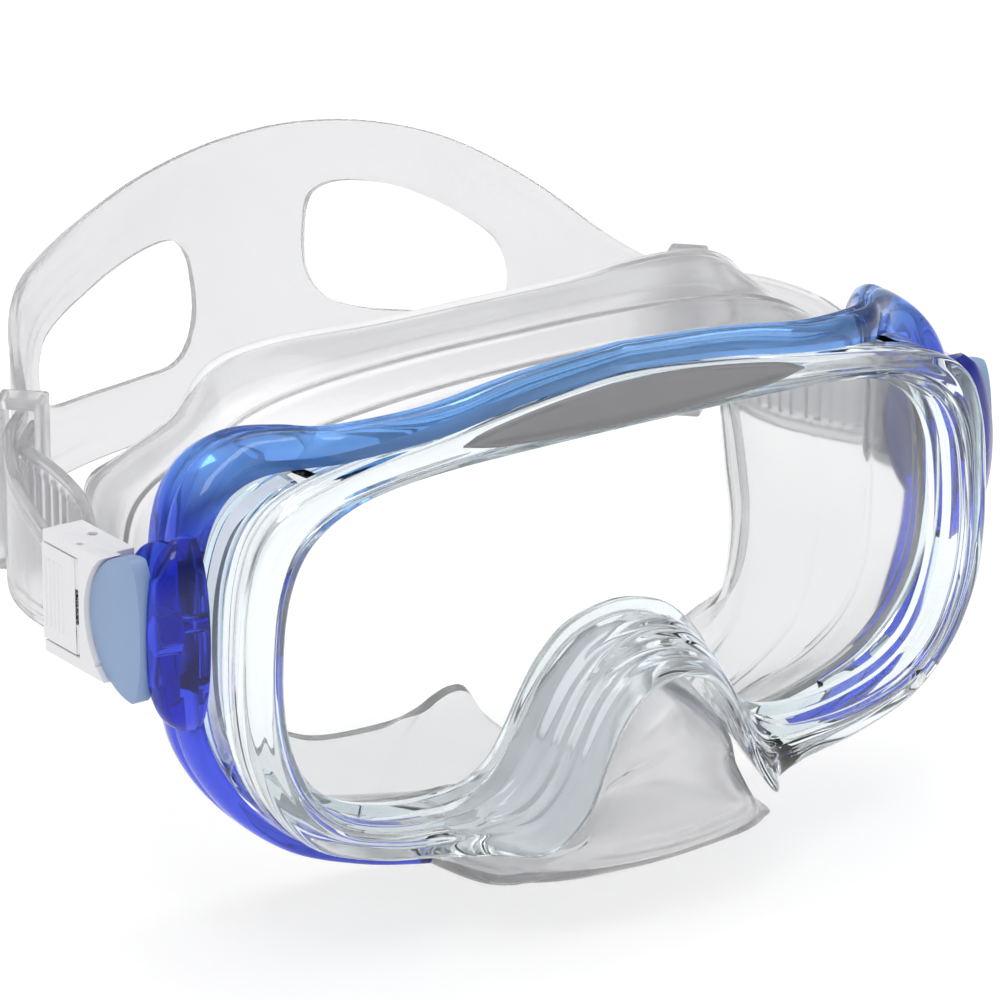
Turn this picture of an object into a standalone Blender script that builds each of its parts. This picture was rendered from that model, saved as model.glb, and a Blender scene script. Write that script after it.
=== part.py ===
"""Single-lens diving mask with curved side windows, silicone skirt and split head strap.

Metres, +Z up.  Origin: centre of the front lens's outer face.  +X is the
wearer's left, -Y is forward (the way the wearer looks).
All lengths below are millimetres and are scaled once, by MM.
"""
import math

import bmesh
import bpy
import numpy as np
from mathutils import Matrix, Vector

MM = 0.001
GAP = 0.35                     # air left between neighbouring pieces
FIT = 0.10                     # running clearance round a pin

# --- driving dimensions (mm) -------------------------------------------------
LENS_T = 3.0                   # tempered front glass
SIDE_LENS_T = 2.0
FRAME_FRONT = -1.5             # front face of the hard lens frame
LEDGE_Y = 3.4                  # front of the ledge that the glass rests on
FLANGE_Y = 5.0
FRAME_REAR = 17.0
WALL_T = 2.5
WINDOW_Y = (6.0, 13.4)         # side window, front and rear edge
SKIRT_T = 1.7
INSERT_T = 0.9
INSERT_TIP = 34.7
PIVOT = (15.7, 9.0)            # Y, Z of the buckle's swivel axis (along X)
EAR_X = (77.3, 80.3)           # ear plate on the outer frame
CAP_R = 12.3                   # radius of the cap's rear edge
CAP_FRONT = 2.9                # how far the cap reaches in front of the pivot
CAP_X = (84.9, 87.8)
BOSS_R = 2.6
PIN_R = 1.5
TONGUE_R = 4.3
TONGUE_X = (81.0, 84.4)
BOX_X = (81.0, 88.6)
BOX_Z = (-1.8, 19.4)
BOX_REAR = 41.0
PLATE_T = 1.9
ROLLER = (83.05, 34.4)         # X, Y of the strap roller (along Z)
ROLLER_R = 1.7
ROLLER_PIN_R = 0.8
LEVER = (87.3, 31.5)           # X, Y of the release lever's pin (along Z)
LEVER_PIN_R = 0.5
LEVER_BARREL_R = 1.1
STRAP_T = 1.8
KEEPER_L = 7.0

# --- clean start ---------------------------------------------------------------
for ob in list(bpy.data.objects):
    bpy.data.objects.remove(ob, do_unlink=True)
PARTS = bpy.data.collections.new("diving_mask")
bpy.context.scene.collection.children.link(PARTS)


# --- materials -----------------------------------------------------------------
def material(name, rgb, rough, transmission=0.0, ior=1.45):
    m = bpy.data.materials.new(name)
    m.use_nodes = True
    b = m.node_tree.nodes["Principled BSDF"]
    b.inputs["Base Color"].default_value = (*rgb, 1.0)
    b.inputs["Roughness"].default_value = rough
    b.inputs["Metallic"].default_value = 0.0
    b.inputs["Transmission Weight"].default_value = transmission
    b.inputs["IOR"].default_value = ior
    m.diffuse_color = (*rgb, 1.0)
    return m


# --- curves and outlines ---------------------------------------------------------
def spline(points, per=4, closed=False):
    """Catmull-Rom curve through the points, `per` steps between neighbours."""
    p = [np.array(q, float) for q in points]
    n = len(p)
    out = []
    last = n if closed else n - 1
    for i in range(last):
        if closed:
            a, b, c, d = p[(i - 1) % n], p[i], p[(i + 1) % n], p[(i + 2) % n]
        else:
            b, c = p[i], p[i + 1]
            a = p[i - 1] if i > 0 else 2 * b - c
            d = p[i + 2] if i + 2 < n else 2 * c - b
        for k in range(per):
            t = k / per
            out.append(0.5 * (2 * b + (c - a) * t + (2 * a - 5 * b + 4 * c - d) * t * t
                              + (3 * b - a - 3 * c + d) * t ** 3))
    if not closed:
        out.append(p[-1])
    return out


def spline_at(points, t):
    """One point of the open curve at parameter t (0 .. len-1)."""
    n = len(points)
    i = min(int(t), n - 2)
    f = t - i
    p = [np.array(q, float) for q in points]
    b, c = p[i], p[i + 1]
    a = p[i - 1] if i > 0 else 2 * b - c
    d = p[i + 2] if i + 2 < n else 2 * c - b
    return 0.5 * (2 * b + (c - a) * f + (2 * a - 5 * b + 4 * c - d) * f * f
                  + (3 * b - a - 3 * c + d) * f ** 3)


def mirrored_half(values, per):
    """Stations from top centre to bottom centre, carried round the other side.

    Each value's first number is an X, and it is zero at both ends.  The curve
    is smooth across the middle because the neighbours are mirrored too."""
    sign = np.ones(len(values[0]))
    for i in X_COLUMNS[len(values[0])]:
        sign[i] = -1.0
    right = [np.array(v, float) * sign for v in values[1:-1]][::-1]
    loop = [np.array(v, float) for v in values] + right
    return spline(loop, per, closed=True)


X_COLUMNS = {2: (0,), 3: (0,), 9: (0, 3, 6)}


# --- mesh helpers ------------------------------------------------------------------
def new_object(name, me, mat=None):
    ob = bpy.data.objects.new(name, me)
    PARTS.objects.link(ob)
    if mat is not None:
        ob.data.materials.clear()
        ob.data.materials.append(mat)
    return ob


def from_grid(name, rows, mat, close_u=False, close_v=True, cap=False):
    """Loft: rows of points joined with quads.  close_v joins each row's ends."""
    bm = bmesh.new()
    vs = [[bm.verts.new(tuple(float(c) * MM for c in p)) for p in row] for row in rows]
    nu, nv = len(vs), len(vs[0])
    for i in range(nu if close_u else nu - 1):
        for j in range(nv if close_v else nv - 1):
            a, b = vs[i], vs[(i + 1) % nu]
            bm.faces.new((a[j], a[(j + 1) % nv], b[(j + 1) % nv], b[j]))
    if cap:
        bm.faces.new(vs[0][::-1])
        bm.faces.new(vs[-1])
    bmesh.ops.recalc_face_normals(bm, faces=bm.faces)
    me = bpy.data.meshes.new(name)
    bm.to_mesh(me)
    bm.free()
    return new_object(name, me, mat)


def evaluated(ob):
    bpy.context.view_layer.update()
    dg = bpy.context.evaluated_depsgraph_get()
    return bpy.data.meshes.new_from_object(ob.evaluated_get(dg))


def bake(ob):
    """Replace an object by its evaluated mesh, its placing taken into the mesh."""
    me = evaluated(ob)
    me.transform(ob.matrix_world)
    bm = bmesh.new()
    bm.from_mesh(me)
    bmesh.ops.remove_doubles(bm, verts=bm.verts, dist=1e-6)
    slits = [e for e in bm.edges if len(e.link_faces) == 1]
    if slits:                                        # close a sliver left by a cut
        bmesh.ops.holes_fill(bm, edges=slits, sides=4)
    bmesh.ops.recalc_face_normals(bm, faces=bm.faces)
    bm.to_mesh(me)
    bm.free()
    name, mats = ob.name, [m for m in ob.data.materials]
    bpy.data.objects.remove(ob, do_unlink=True)
    me.name = name
    out = new_object(name, me)
    out.data.materials.clear()
    for m in mats:
        out.data.materials.append(m)
    return out


def prism(name, outline, axis, lo, hi, mat=None):
    """A flat outline (2D curve, filled) given thickness along an axis."""
    cu = bpy.data.curves.new(name, "CURVE")
    cu.dimensions = "2D"
    cu.fill_mode = "BOTH"
    cu.extrude = (hi - lo) / 2 * MM
    sp = cu.splines.new("POLY")
    sp.points.add(len(outline) - 1)
    for q, p in zip(sp.points, outline):
        q.co = (p[0] * MM, p[1] * MM, 0, 1)
    sp.use_cyclic_u = True
    ob = bpy.data.objects.new(name, cu)
    PARTS.objects.link(ob)
    if mat is not None:
        cu.materials.append(mat)
    mid = (lo + hi) / 2 * MM
    if axis == "X":
        rot = Matrix(((0, 0, 1, mid), (1, 0, 0, 0), (0, 1, 0, 0), (0, 0, 0, 1)))
    elif axis == "Y":
        rot = Matrix(((1, 0, 0, 0), (0, 0, -1, mid), (0, 1, 0, 0), (0, 0, 0, 1)))
    else:
        rot = Matrix.Translation((0, 0, mid))
    ob.matrix_world = rot
    return bake(ob)


def cylinder(name, axis, centre, r, lo, hi, seg=32, mat=None):
    """Round bar along an axis; centre holds the other two coordinates in order."""
    bm = bmesh.new()
    bmesh.ops.create_cone(bm, cap_ends=True, segments=seg, radius1=r * MM, radius2=r * MM,
                          depth=(hi - lo) * MM)
    mid = (lo + hi) / 2 * MM
    a, b = centre[0] * MM, centre[1] * MM
    if axis == "X":
        m = Matrix.Translation((mid, a, b)) @ Matrix.Rotation(math.pi / 2, 4, "Y")
    elif axis == "Y":
        m = Matrix.Translation((a, mid, b)) @ Matrix.Rotation(math.pi / 2, 4, "X")
    else:
        m = Matrix.Translation((a, b, mid))
    bm.transform(m)
    me = bpy.data.meshes.new(name)
    bm.to_mesh(me)
    bm.free()
    return new_object(name, me, mat)


def box(name, x, y, z, mat=None, bevel=0.0):
    bm = bmesh.new()
    bmesh.ops.create_cube(bm, size=1.0)
    for v in bm.verts:
        v.co = Vector(((x[0] + x[1]) / 2 + v.co.x * (x[1] - x[0]),
                       (y[0] + y[1]) / 2 + v.co.y * (y[1] - y[0]),
                       (z[0] + z[1]) / 2 + v.co.z * (z[1] - z[0]))) * MM
    me = bpy.data.meshes.new(name)
    bm.to_mesh(me)
    bm.free()
    ob = new_object(name, me, mat)
    if bevel:
        mod = ob.modifiers.new("edges", "BEVEL")
        mod.width = bevel * MM
        mod.segments = 2
        ob = bake(ob)
    return ob


def boolean(ob, other, operation):
    """Cut or join, keeping the first object's name; the second one is used up."""
    mod = ob.modifiers.new("b", "BOOLEAN")
    mod.operation = operation
    mod.solver = "EXACT"
    mod.object = other
    out = bake(ob)
    bpy.data.objects.remove(other, do_unlink=True)
    return out


def smooth(ob, angle=35):
    ob.data.shade_smooth()
    ob.data.set_sharp_from_angle(angle=math.radians(angle))
    return ob


def set_origin(ob, x, y, z):
    """Move the object's origin to a point without moving its surface."""
    p = Vector((x, y, z)) * MM
    ob.data.transform(Matrix.Translation(-p) @ ob.matrix_world)
    ob.matrix_world = Matrix.Translation(p)
    return ob


def both_sides(ob, stem, origin=None):
    """The piece on the wearer's left (+X) and its mirror twin on the right."""
    me = ob.data.copy()
    me.transform(ob.matrix_world)
    me.transform(Matrix.Scale(-1, 4, (1, 0, 0)))
    me.flip_normals()
    twin = new_object(stem + "_right", me)
    ob.name = stem + "_left"
    ob.data.name = stem + "_left"
    for o in (ob, twin):
        smooth(o)
    if origin is not None:
        set_origin(ob, *origin)
        set_origin(twin, -origin[0], origin[1], origin[2])
    return ob, twin


M_CLEAR = material("clear_frame_plastic", (0.86, 0.92, 0.95), 0.08, 0.9, 1.5)
M_GLASS = material("tempered_glass", (0.96, 0.99, 0.98), 0.02, 1.0, 1.52)
M_BLUE = material("blue_translucent_plastic", (0.05, 0.18, 0.80), 0.10, 0.6, 1.5)
M_COVER = material("pale_blue_cover_plastic", (0.24, 0.38, 0.66), 0.45)
M_GREY = material("grey_satin_plastic", (0.33, 0.33, 0.34), 0.35)
M_SILICONE = material("clear_silicone", (0.86, 0.86, 0.89), 0.30, 0.5, 1.41)
M_WHITE = material("white_buckle_plastic", (0.85, 0.85, 0.87), 0.35)
M_ROLLER = material("grey_roller_plastic", (0.62, 0.63, 0.66), 0.40)
M_STEEL = material("stainless_steel", (0.60, 0.60, 0.62), 0.25)
M_STEEL.node_tree.nodes["Principled BSDF"].inputs["Metallic"].default_value = 1.0

# --- hard lens frame ------------------------------------------------------------
# One station: opening edge X, Z, depth of the front outer edge; outer edge X, Z,
# its thickness there; rear edge X, Z, Y.
STATIONS = [
    (0, 31.6, -1.0, 0, 40.3, 4.0, 0, 37.8, 17.0),
    (20, 31.5, -1.0, 20, 38.7, 4.0, 20, 36.9, 17.0),
    (36, 31.2, -1.0, 38, 36.1, 4.0, 38, 34.9, 17.0),
    (48, 30.2, -1.0, 53, 34.0, 4.0, 52, 33.2, 17.0),
    (57, 28.0, -1.0, 65, 31.2, 4.0, 63.5, 31.0, 17.0),
    (64, 23.5, -1.0, 72, 26.3, 4.0, 71.3, 27.0, 17.0),
    (67.8, 16.5, -1.0, 75.2, 18.3, 4.0, 75.4, 19.0, 17.0),
    (69.3, 7.0, -1.0, 76.3, 7.8, 4.0, 76.7, 7.5, 17.0),
    (69.3, -3.0, -1.0, 76.3, -3.0, 4.0, 76.4, -4.5, 17.0),
    (67.5, -12.0, -1.0, 74.6, -12.8, 4.0, 73.8, -14.6, 17.0),
    (63.5, -20.0, -1.0, 69.8, -22.6, 4.0, 67.8, -23.6, 17.0),
    (57, -25.3, -1.0, 61.6, -30.4, 4.0, 59.4, -30.0, 17.0),
    (48, -28.3, -1.0, 50, -34.8, 4.0, 49.6, -33.8, 17.0),
    (39, -29.3, -1.0, 38.5, -37.0, 4.0, 39.5, -36.3, 16.0),
    (31, -28.6, -3.6, 30.0, -37.7, 3.6, 30.8, -35.4, 8.6),
    (25.5, -25.6, -11.6, 23.6, -35.0, 2.0, 24.8, -30.8, 5.6),
    (21.5, -20.5, -14.4, 18.2, -28.8, 1.8, 20.2, -24.0, 5.4),
    (18, -14.5, -14.6, 14.6, -21.0, 1.8, 17.0, -17.4, 5.4),
    (14, -9.0, -14.8, 11.0, -14.2, 1.8, 12.8, -11.6, 5.4),
    (8.5, -4.6, -15.1, 6.5, -9.6, 1.8, 7.7, -7.4, 5.4),
    (0, -2.8, -15.3, 0, -7.7, 1.8, 0, -5.7, 5.4),
]


def frame_section(v):
    """Closed section of the lens frame at one station."""
    ix, iz, yo, ox, oz, th, rx, rz, ry = v
    i, o, r = np.array((ix, iz)), np.array((ox, oz)), np.array((rx, rz))
    n = (o - i) / np.linalg.norm(o - i)
    m = (r - i) / np.linalg.norm(r - i)
    wall = min(WALL_T, 0.45 * np.linalg.norm(r - i))
    corner = o - WALL_T * n
    if ry < 10:                                    # no rear wall at the nose arch
        k = max(0.0, (ry - 5.4) / 4.6)
        corner = (1 - k) * (r - (wall + 0.6) * m) + k * corner
    ledge = i - 2.0 * n
    a = min(1.0, max(0.0, (-yo - 2.0) / 9.0))      # 0 on the plain rim, 1 on the nose hood
    o2, y2 = o + 1.5 * a * n, yo + (1 - a) * th + a * 0.7
    pts = [(i, FRAME_FRONT), (o, yo), (o2, y2), (r, ry), (r - wall * m, ry),
           (corner, FLANGE_Y), (ledge, FLANGE_Y), (ledge, LEDGE_Y), (i, LEDGE_Y)]
    return [(p[0], y, p[1]) for p, y in pts]


PER = 3
loop = mirrored_half(STATIONS, PER)
lens_frame = from_grid("lens_frame", [frame_section(v) for v in loop], M_CLEAR, close_u=True)
for s in (1, -1):
    x = (58.0, 90.0) if s > 0 else (-90.0, -58.0)
    cut = box("cut", x, WINDOW_Y, (-27.0, 45.0))
    lens_frame = boolean(lens_frame, cut, "DIFFERENCE")
smooth(lens_frame, 40)


def wall_point(v, y):
    """Point of the frame's outer wall at depth y."""
    o, r = np.array((v[3], v[4])), np.array((v[6], v[7]))
    f = min(1.0, max(0.0, (y - 3.0) / (FRAME_REAR - 3.0)))
    return o + (r - o) * f


def wall_normals(vals, y):
    pts = [wall_point(v, y) for v in vals]
    ns = []
    for k in range(len(pts)):
        a = pts[max(0, k - 1)]
        b = pts[min(len(pts) - 1, k + 1)]
        t = (b - a) / np.linalg.norm(b - a)
        ns.append(np.array((-t[1], t[0])))
    return pts, ns


# --- front lens and side lenses ---------------------------------------------------
def lens_outline(inset):
    pts = []
    for v in loop:
        i, o = np.array((v[0], v[1])), np.array((v[3], v[4]))
        pts.append(i - inset * (o - i) / np.linalg.norm(o - i))
    return pts


front_lens = prism("front_lens", lens_outline(GAP), "Y", 0.0, LENS_T, M_GLASS)
smooth(front_lens)

HALF = spline([np.array(v, float) for v in STATIONS[:15]], 4)
rows = []
y0, y1 = WINDOW_Y[0] + GAP, WINDOW_Y[1] - GAP
pf, nf = wall_normals(HALF, y0)
pr, nr = wall_normals(HALF, y1)
keep = [k for k, v in enumerate(HALF) if min(v[3], v[6]) > 59.6 and min(v[4], v[7]) > -25.9]
for k in keep:
    a, b = pf[k] * 1.0, pr[k] * 1.0
    na, nb = -nf[k], -nr[k]
    if na[0] < 0:
        na, nb = -na, -nb
    rows.append([(a[0], y0, a[1]), (b[0], y1, b[1]),
                 (b[0] - nb[0] * SIDE_LENS_T, y1, b[1] - nb[1] * SIDE_LENS_T),
                 (a[0] - na[0] * SIDE_LENS_T, y0, a[1] - na[1] * SIDE_LENS_T)])
side_lens = from_grid("side_lens", rows, M_GLASS, cap=True)
both_sides(side_lens, "side_lens")

# --- blue outer frame: brow rail, sides, ears ---------------------------------------
# Along the half loop: station number, depth of the band's middle, width, thickness.
BAND = [(0, 3.0, 6.0, 4.0), (1, 3.0, 6.2, 4.2), (2, 3.2, 6.8, 4.5), (3, 7.4, 7.8, 5.4),
        (3.5, 13.2, 9.4, 6.4), (4, 18.2, 11.4, 6.9), (4.5, 20.0, 13.0, 6.2), (5, 20.0, 13.6, 5.4),
        (6, 18.8, 12.8, 4.0), (7, 17.6, 11.0, 3.2), (8, 17.2, 10.4, 3.0), (9, 16.8, 10.6, 3.2),
        (10, 14.6, 10.4, 3.2), (11, 11.4, 8.6, 2.8), (12, 8.0, 6.0, 2.2), (13.1, 5.2, 4.2, 1.8)]


def band_rows():
    half_stations = [np.array(v, float) for v in STATIONS[:16]]
    ks = spline([np.array(b, float) for b in BAND], 3)
    rows = []
    for k, yc, w, t in ks:
        ring = []
        v = spline_at(half_stations, k)
        va = spline_at(half_stations, max(0.0, k - 0.15))
        vb = spline_at(half_stations, k + 0.15)
        for dy, h in ((-0.5, 0.0), (-0.5, 0.6), (-0.22, 1.0), (0.22, 1.0), (0.5, 0.6), (0.5, 0.0)):
            y = yc + dy * w
            p = wall_point(v, y)
            d = wall_point(vb, y) - wall_point(va, y)
            if k < 0.01:
                d = np.array((1.0, 0.0))
            d = d / np.linalg.norm(d)
            n = np.array((-d[1], d[0]))
            q = p + n * (0.65 + h * t)
            ring.append((q[0], y, q[1]))
        rows.append(ring)
    return rows


# Raised cheek on the ear: a rib along Z, full in its middle and fading into the band at both ends.
CHEEK_MID, CHEEK_HALF = 8.0, 16.5


def cheek_rows(count):
    rows = []
    for k in range(count + 1):
        u = -1 + 2 * k / count
        z = CHEEK_MID + CHEEK_HALF * u
        f = math.sqrt(max(0.03, 1 - u * u))
        yr = 13.4
        y0 = yr - 1.4 - 4.8 * f
        xo = 78.9 + 7.9 * f ** 0.8
        rows.append([(77.85, y0, z), (79.2 + 0.9 * f, y0 + 0.4, z), (xo - 3.4 * f, y0 + 0.8 + 0.6 * f, z),
                     (xo - 1.0 * f, yr - 0.9 - 2.5 * f, z), (xo, yr - 0.5 - 0.9 * f, z), (xo, yr, z), (77.85, yr, z)])
    return rows


def ear_outline(grow=0.0, seg=32):
    """Side view of the ear: round about the pivot behind it, flatter in front of it."""
    pts = []
    for k in range(seg):
        a = 2 * math.pi * k / seg
        c = math.cos(a)
        pts.append((PIVOT[0] + c * ((CAP_R if c > 0 else CAP_FRONT) + grow),
                    PIVOT[1] + math.sin(a) * (CAP_R + grow)))
    return pts


half_rows = band_rows()
other = [[(-p[0], p[1], p[2]) for p in row] for row in half_rows[1:]][::-1]
outer_frame = from_grid("outer_frame", other + half_rows, M_BLUE, cap=True)
for s in (1, -1):
    lo, hi = (EAR_X if s > 0 else (-EAR_X[1], -EAR_X[0]))
    ear = prism("ear", ear_outline(1.2), "X", lo, hi)
    outer_frame = boolean(outer_frame, ear, "UNION")
    # raised cheek in front of the cap, hollow where the buckle's tongue turns
    cheek = from_grid("cheek", [[(s * x, y, z) for x, y, z in row] for row in cheek_rows(18)], None, cap=True)
    far = (EAR_X[1] + GAP, 99.0) if s > 0 else (-99.0, -EAR_X[1] - GAP)
    cheek = boolean(cheek, prism("cap_space", ear_outline(GAP), "X", *far), "DIFFERENCE")
    deep = (EAR_X[1] + GAP, TONGUE_X[1] + 0.4) if s > 0 else (-TONGUE_X[1] - 0.4, -EAR_X[1] - GAP)
    cheek = boolean(cheek, cylinder("tongue_space", "X", PIVOT, TONGUE_R + 0.4, *deep, 40), "DIFFERENCE")
    outer_frame = boolean(outer_frame, cheek, "UNION")
    hole = cylinder("hole", "X", PIVOT, PIN_R + FIT, *((70.0, 95.0) if s > 0 else (-95.0, -70.0)), 20)
    outer_frame = boolean(outer_frame, hole, "DIFFERENCE")
smooth(outer_frame)

# --- brow insert ---------------------------------------------------------------------
top = [(-INSERT_TIP, 35.2), (-30, 36.9), (-20, 38.6), (-10, 39.7), (0, 40.1), (10, 39.7),
       (20, 38.6), (30, 36.9), (INSERT_TIP, 35.2)]
low = [(INSERT_TIP, 34.9), (28, 33.7), (18, 33.0), (9, 32.7), (0, 32.6), (-9, 32.7), (-18, 33.0),
       (-28, 33.7), (-INSERT_TIP, 34.9)]
outline = spline(top, 3) + spline(low, 3)
brow_insert = prism("brow_insert", outline, "Y", FRAME_FRONT - GAP - INSERT_T, FRAME_FRONT - GAP, M_GREY)
smooth(brow_insert)

# --- silicone skirt --------------------------------------------------------------------
# Each station runs from the front edge inside the lens frame, along the wall to the
# outer lip, over it, and in to the edge of the face opening.
SKIRT = [
    [(0, 12.8, 34.3), (0, 18, 34.6), (0, 22, 35.3), (0, 27, 36.4), (0, 32, 37.8), (0, 37, 39.2),
     (0, 42, 40.4), (0, 46, 41.0), (0, 47.2, 39.0), (0, 44.0, 35.6)],
    [(20, 12.8, 33.6), (20, 18, 33.9), (20, 22, 34.8), (20, 27, 36.1), (20, 32, 37.6), (20, 37, 39.0),
     (20, 42, 40.2), (20, 46.4, 40.8), (20, 47.6, 38.8), (20, 44.4, 35.4)],
    [(37.5, 12.8, 31.6), (38, 18, 32.0), (38.5, 22, 33.2), (39, 27, 34.8), (39.5, 32, 36.4), (40, 37, 38.0),
     (40.4, 42, 40.2), (40.6, 46.8, 41.4), (40.6, 48.4, 39.2), (39, 45.2, 34.6)],
    [(51, 12.8, 29.8), (51.5, 18, 30.2), (52.5, 22, 31.2), (53, 27, 32.6), (53, 32, 34.0), (53, 37, 35.4),
     (52.9, 42, 37.6), (52.6, 47.0, 39.0), (51.6, 48.8, 37.0), (49.6, 46.0, 32.6)],
    [(61.5, 12.8, 27.5), (62.3, 18, 27.9), (62.6, 22, 28.4), (62.6, 27, 29.0), (62.2, 32, 29.7),
     (61.4, 37, 30.3), (60.4, 42, 30.9), (59.4, 47.0, 31.3), (58.4, 49.4, 29.8), (55.8, 47.4, 26.6)],
    [(68.6, 12.8, 23.8), (69.8, 18, 24.2), (70.2, 24, 24.4), (69.8, 30, 24.5), (69.0, 36, 24.6),
     (67.8, 42, 24.6), (66.4, 48, 24.4), (65.0, 54.0, 23.8), (63.4, 56.6, 22.4), (59.8, 53.4, 19.6)],
    [(72.0, 12.8, 16.5), (73.2, 18, 16.8), (73.6, 25, 17.0), (73.2, 32, 17.2), (72.2, 39, 17.4),
     (70.8, 46, 17.5), (69.4, 53, 17.5), (68.0, 60.0, 17.4), (66.2, 62.8, 16.6), (61.8, 58.2, 14.4)],
    [(73.2, 12.8, 6.5), (74.2, 18, 6.5), (74.4, 26, 6.5), (73.8, 33, 6.5), (72.6, 40, 6.5),
     (71.0, 47.5, 6.5), (69.4, 55, 6.5), (67.8, 62.0, 6.5), (66.3, 63.6, 6.3), (63.5, 57.0, 5.6)],
    [(72.8, 12.8, -5.0), (73.4, 18, -5.2), (73.4, 25, -5.4), (72.6, 31, -5.6), (71.2, 38, -5.8),
     (69.6, 45, -6.0), (67.8, 52, -6.0), (66.0, 58.4, -6.0), (64.6, 59.8, -5.4), (62.6, 53.0, -4.2)],
    [(70.4, 12.8, -14.2), (70.8, 18, -14.9), (70.6, 23, -15.6), (69.6, 29, -16.2), (68.0, 35, -16.7),
     (66.2, 41, -17.2), (64.4, 47, -17.5), (62.5, 52.0, -17.8), (61.2, 53.4, -16.4), (59.8, 48.2, -13.2)],
    [(64.8, 12.8, -22.0), (65.0, 18, -22.7), (64.8, 22, -23.8), (63.6, 27, -25.2), (61.8, 32, -26.5),
     (59.8, 37, -27.7), (57.8, 42, -28.8), (56.0, 46.8, -29.8), (54.8, 48.6, -27.6), (54.6, 45.0, -21.8)],
    [(56.5, 12.8, -27.6), (56.5, 18, -28.5), (56.0, 22, -30.0), (54.6, 26, -31.6), (52.8, 31, -33.2),
     (51.0, 36, -34.8), (49.2, 41, -36.4), (47.6, 45.6, -38.0), (46.4, 47.6, -35.4), (45.6, 44.0, -25.4)],
    [(45.5, 12.8, -31.0), (45.5, 18, -31.8), (45.0, 22, -33.6), (44.2, 26, -35.6), (43.2, 30, -37.4),
     (42.2, 34, -39.0), (41.2, 39, -40.8), (40.2, 44.0, -42.8), (39.0, 46.2, -40.6), (35.4, 42.6, -29.8)],
    [(33.8, 10.6, -31.2), (33.6, 13.4, -32.4), (33.6, 18.2, -34.6), (33.6, 22, -37.6), (33.6, 27, -40.2),
     (33.6, 32, -42.4), (33.2, 38, -44.4), (32.8, 43.0, -46.4), (31.4, 44.6, -43.4), (25.6, 35.6, -27.4)],
]
# Nose pocket, from its flank to the middle: more rings make its crease and lower bulge.
NOSE = [
    [(28.0, 9.4, -30.2), (27.6, 9.6, -31.6), (27.4, 10.0, -33.4), (27.4, 10.4, -35.4), (27.3, 10.8, -37.4),
     (27.4, 11.2, -39.4), (28.4, 11.4, -41.4), (29.8, 13.8, -43.0), (30.2, 20.0, -44.2), (30.2, 30.0, -46.1),
     (29.8, 42.0, -48.8), (28.4, 42.6, -44.0), (22.0, 31.5, -24.4)],
    [(24.4, 8.6, -29.6), (23.4, 7.8, -32.2), (22.6, 6.6, -34.6), (22.2, 5.2, -36.4), (22.1, 3.6, -37.8),
     (23.4, 1.2, -39.6), (26.2, -1.6, -41.3), (28.4, -1.6, -43.2), (28.8, 5.6, -45.0), (28.4, 23.0, -46.8),
     (28.0, 41.4, -49.5), (26.6, 41.4, -44.6), (19.2, 30.0, -22.0)],
    [(21.6, 8.2, -27.4), (19.8, 4.8, -28.8), (18.4, 0.4, -30.0), (17.6, -4.8, -31.4), (17.4, -8.4, -33.0),
     (18.8, -9.4, -36.2), (21.4, -8.2, -39.6), (24.2, -5.8, -42.9), (25.0, 6.0, -45.4), (25.2, 24.0, -47.4),
     (26.4, 41.0, -50.0), (24.8, 40.8, -44.8), (16.6, 29.0, -20.6)],
    [(17.6, 6.2, -22.2), (15.4, -4.0, -23.6), (13.6, -10.6, -24.6), (13.2, -12.2, -26.2), (13.8, -11.9, -28.4),
     (15.8, -13.0, -34.0), (17.2, -11.2, -39.4), (18.4, -8.6, -42.9), (19.0, 4.0, -46.6), (19.0, 22.0, -49.0),
     (18.8, 39.4, -53.0), (17.6, 39.2, -47.0), (13.4, 28.6, -21.4)],
    [(11.4, 6.0, -13.4), (10.2, -5.0, -16.4), (8.8, -13.0, -18.4), (8.8, -15.4, -22.4), (9.2, -14.4, -26.6),
     (10.4, -15.9, -33.2), (11.0, -12.6, -39.8), (11.4, -8.8, -43.4), (11.6, 4.0, -48.0), (11.6, 22.0, -50.6),
     (10.6, 38.6, -54.4), (10.2, 38.8, -48.8), (8.0, 30.4, -28.2)],
    [(0, 6.0, -7.8), (0, -5.0, -10.8), (0, -14.2, -12.2), (0, -17.4, -18.6), (0, -15.9, -25.6),
     (0, -17.2, -33.0), (0, -13.4, -40.0), (0, -9.0, -43.8), (0, 4.0, -48.6), (0, 22.0, -51.4),
     (0, 37.8, -55.0), (0, 38.4, -50.2), (0, 32.0, -33.6)],
]


def stretch_wall(row, n):
    """A station's wall re-divided into n points; the lip's two last points stay."""
    wall, lip = [np.array(p, float) for p in row[:-2]], row[-2:]
    return [tuple(spline_at(wall, (len(wall) - 1) * k / (n - 1))) for k in range(n)] + lip


SKIRT = [stretch_wall(row, len(NOSE[0]) - 2) for row in SKIRT] + NOSE


def skirt_rows(per_station, per_ring):
    full = SKIRT + [[(-x, y, z) for x, y, z in row] for row in SKIRT[1:-1]][::-1]
    rings = len(SKIRT[0])
    cols = [spline([row[r] for row in full], per_station, closed=True) for r in range(rings)]
    n = len(cols[0])
    return [spline([cols[r][k] for r in range(rings)], per_ring) for k in range(n)]


skirt = from_grid("skirt", skirt_rows(2, 1), M_SILICONE, close_u=True, close_v=False)
mod = skirt.modifiers.new("wall", "SOLIDIFY")
mod.thickness = SKIRT_T * MM
mod.offset = -1.0
mod.use_even_offset = False
skirt = bake(skirt)
smooth(skirt, 60)

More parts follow.
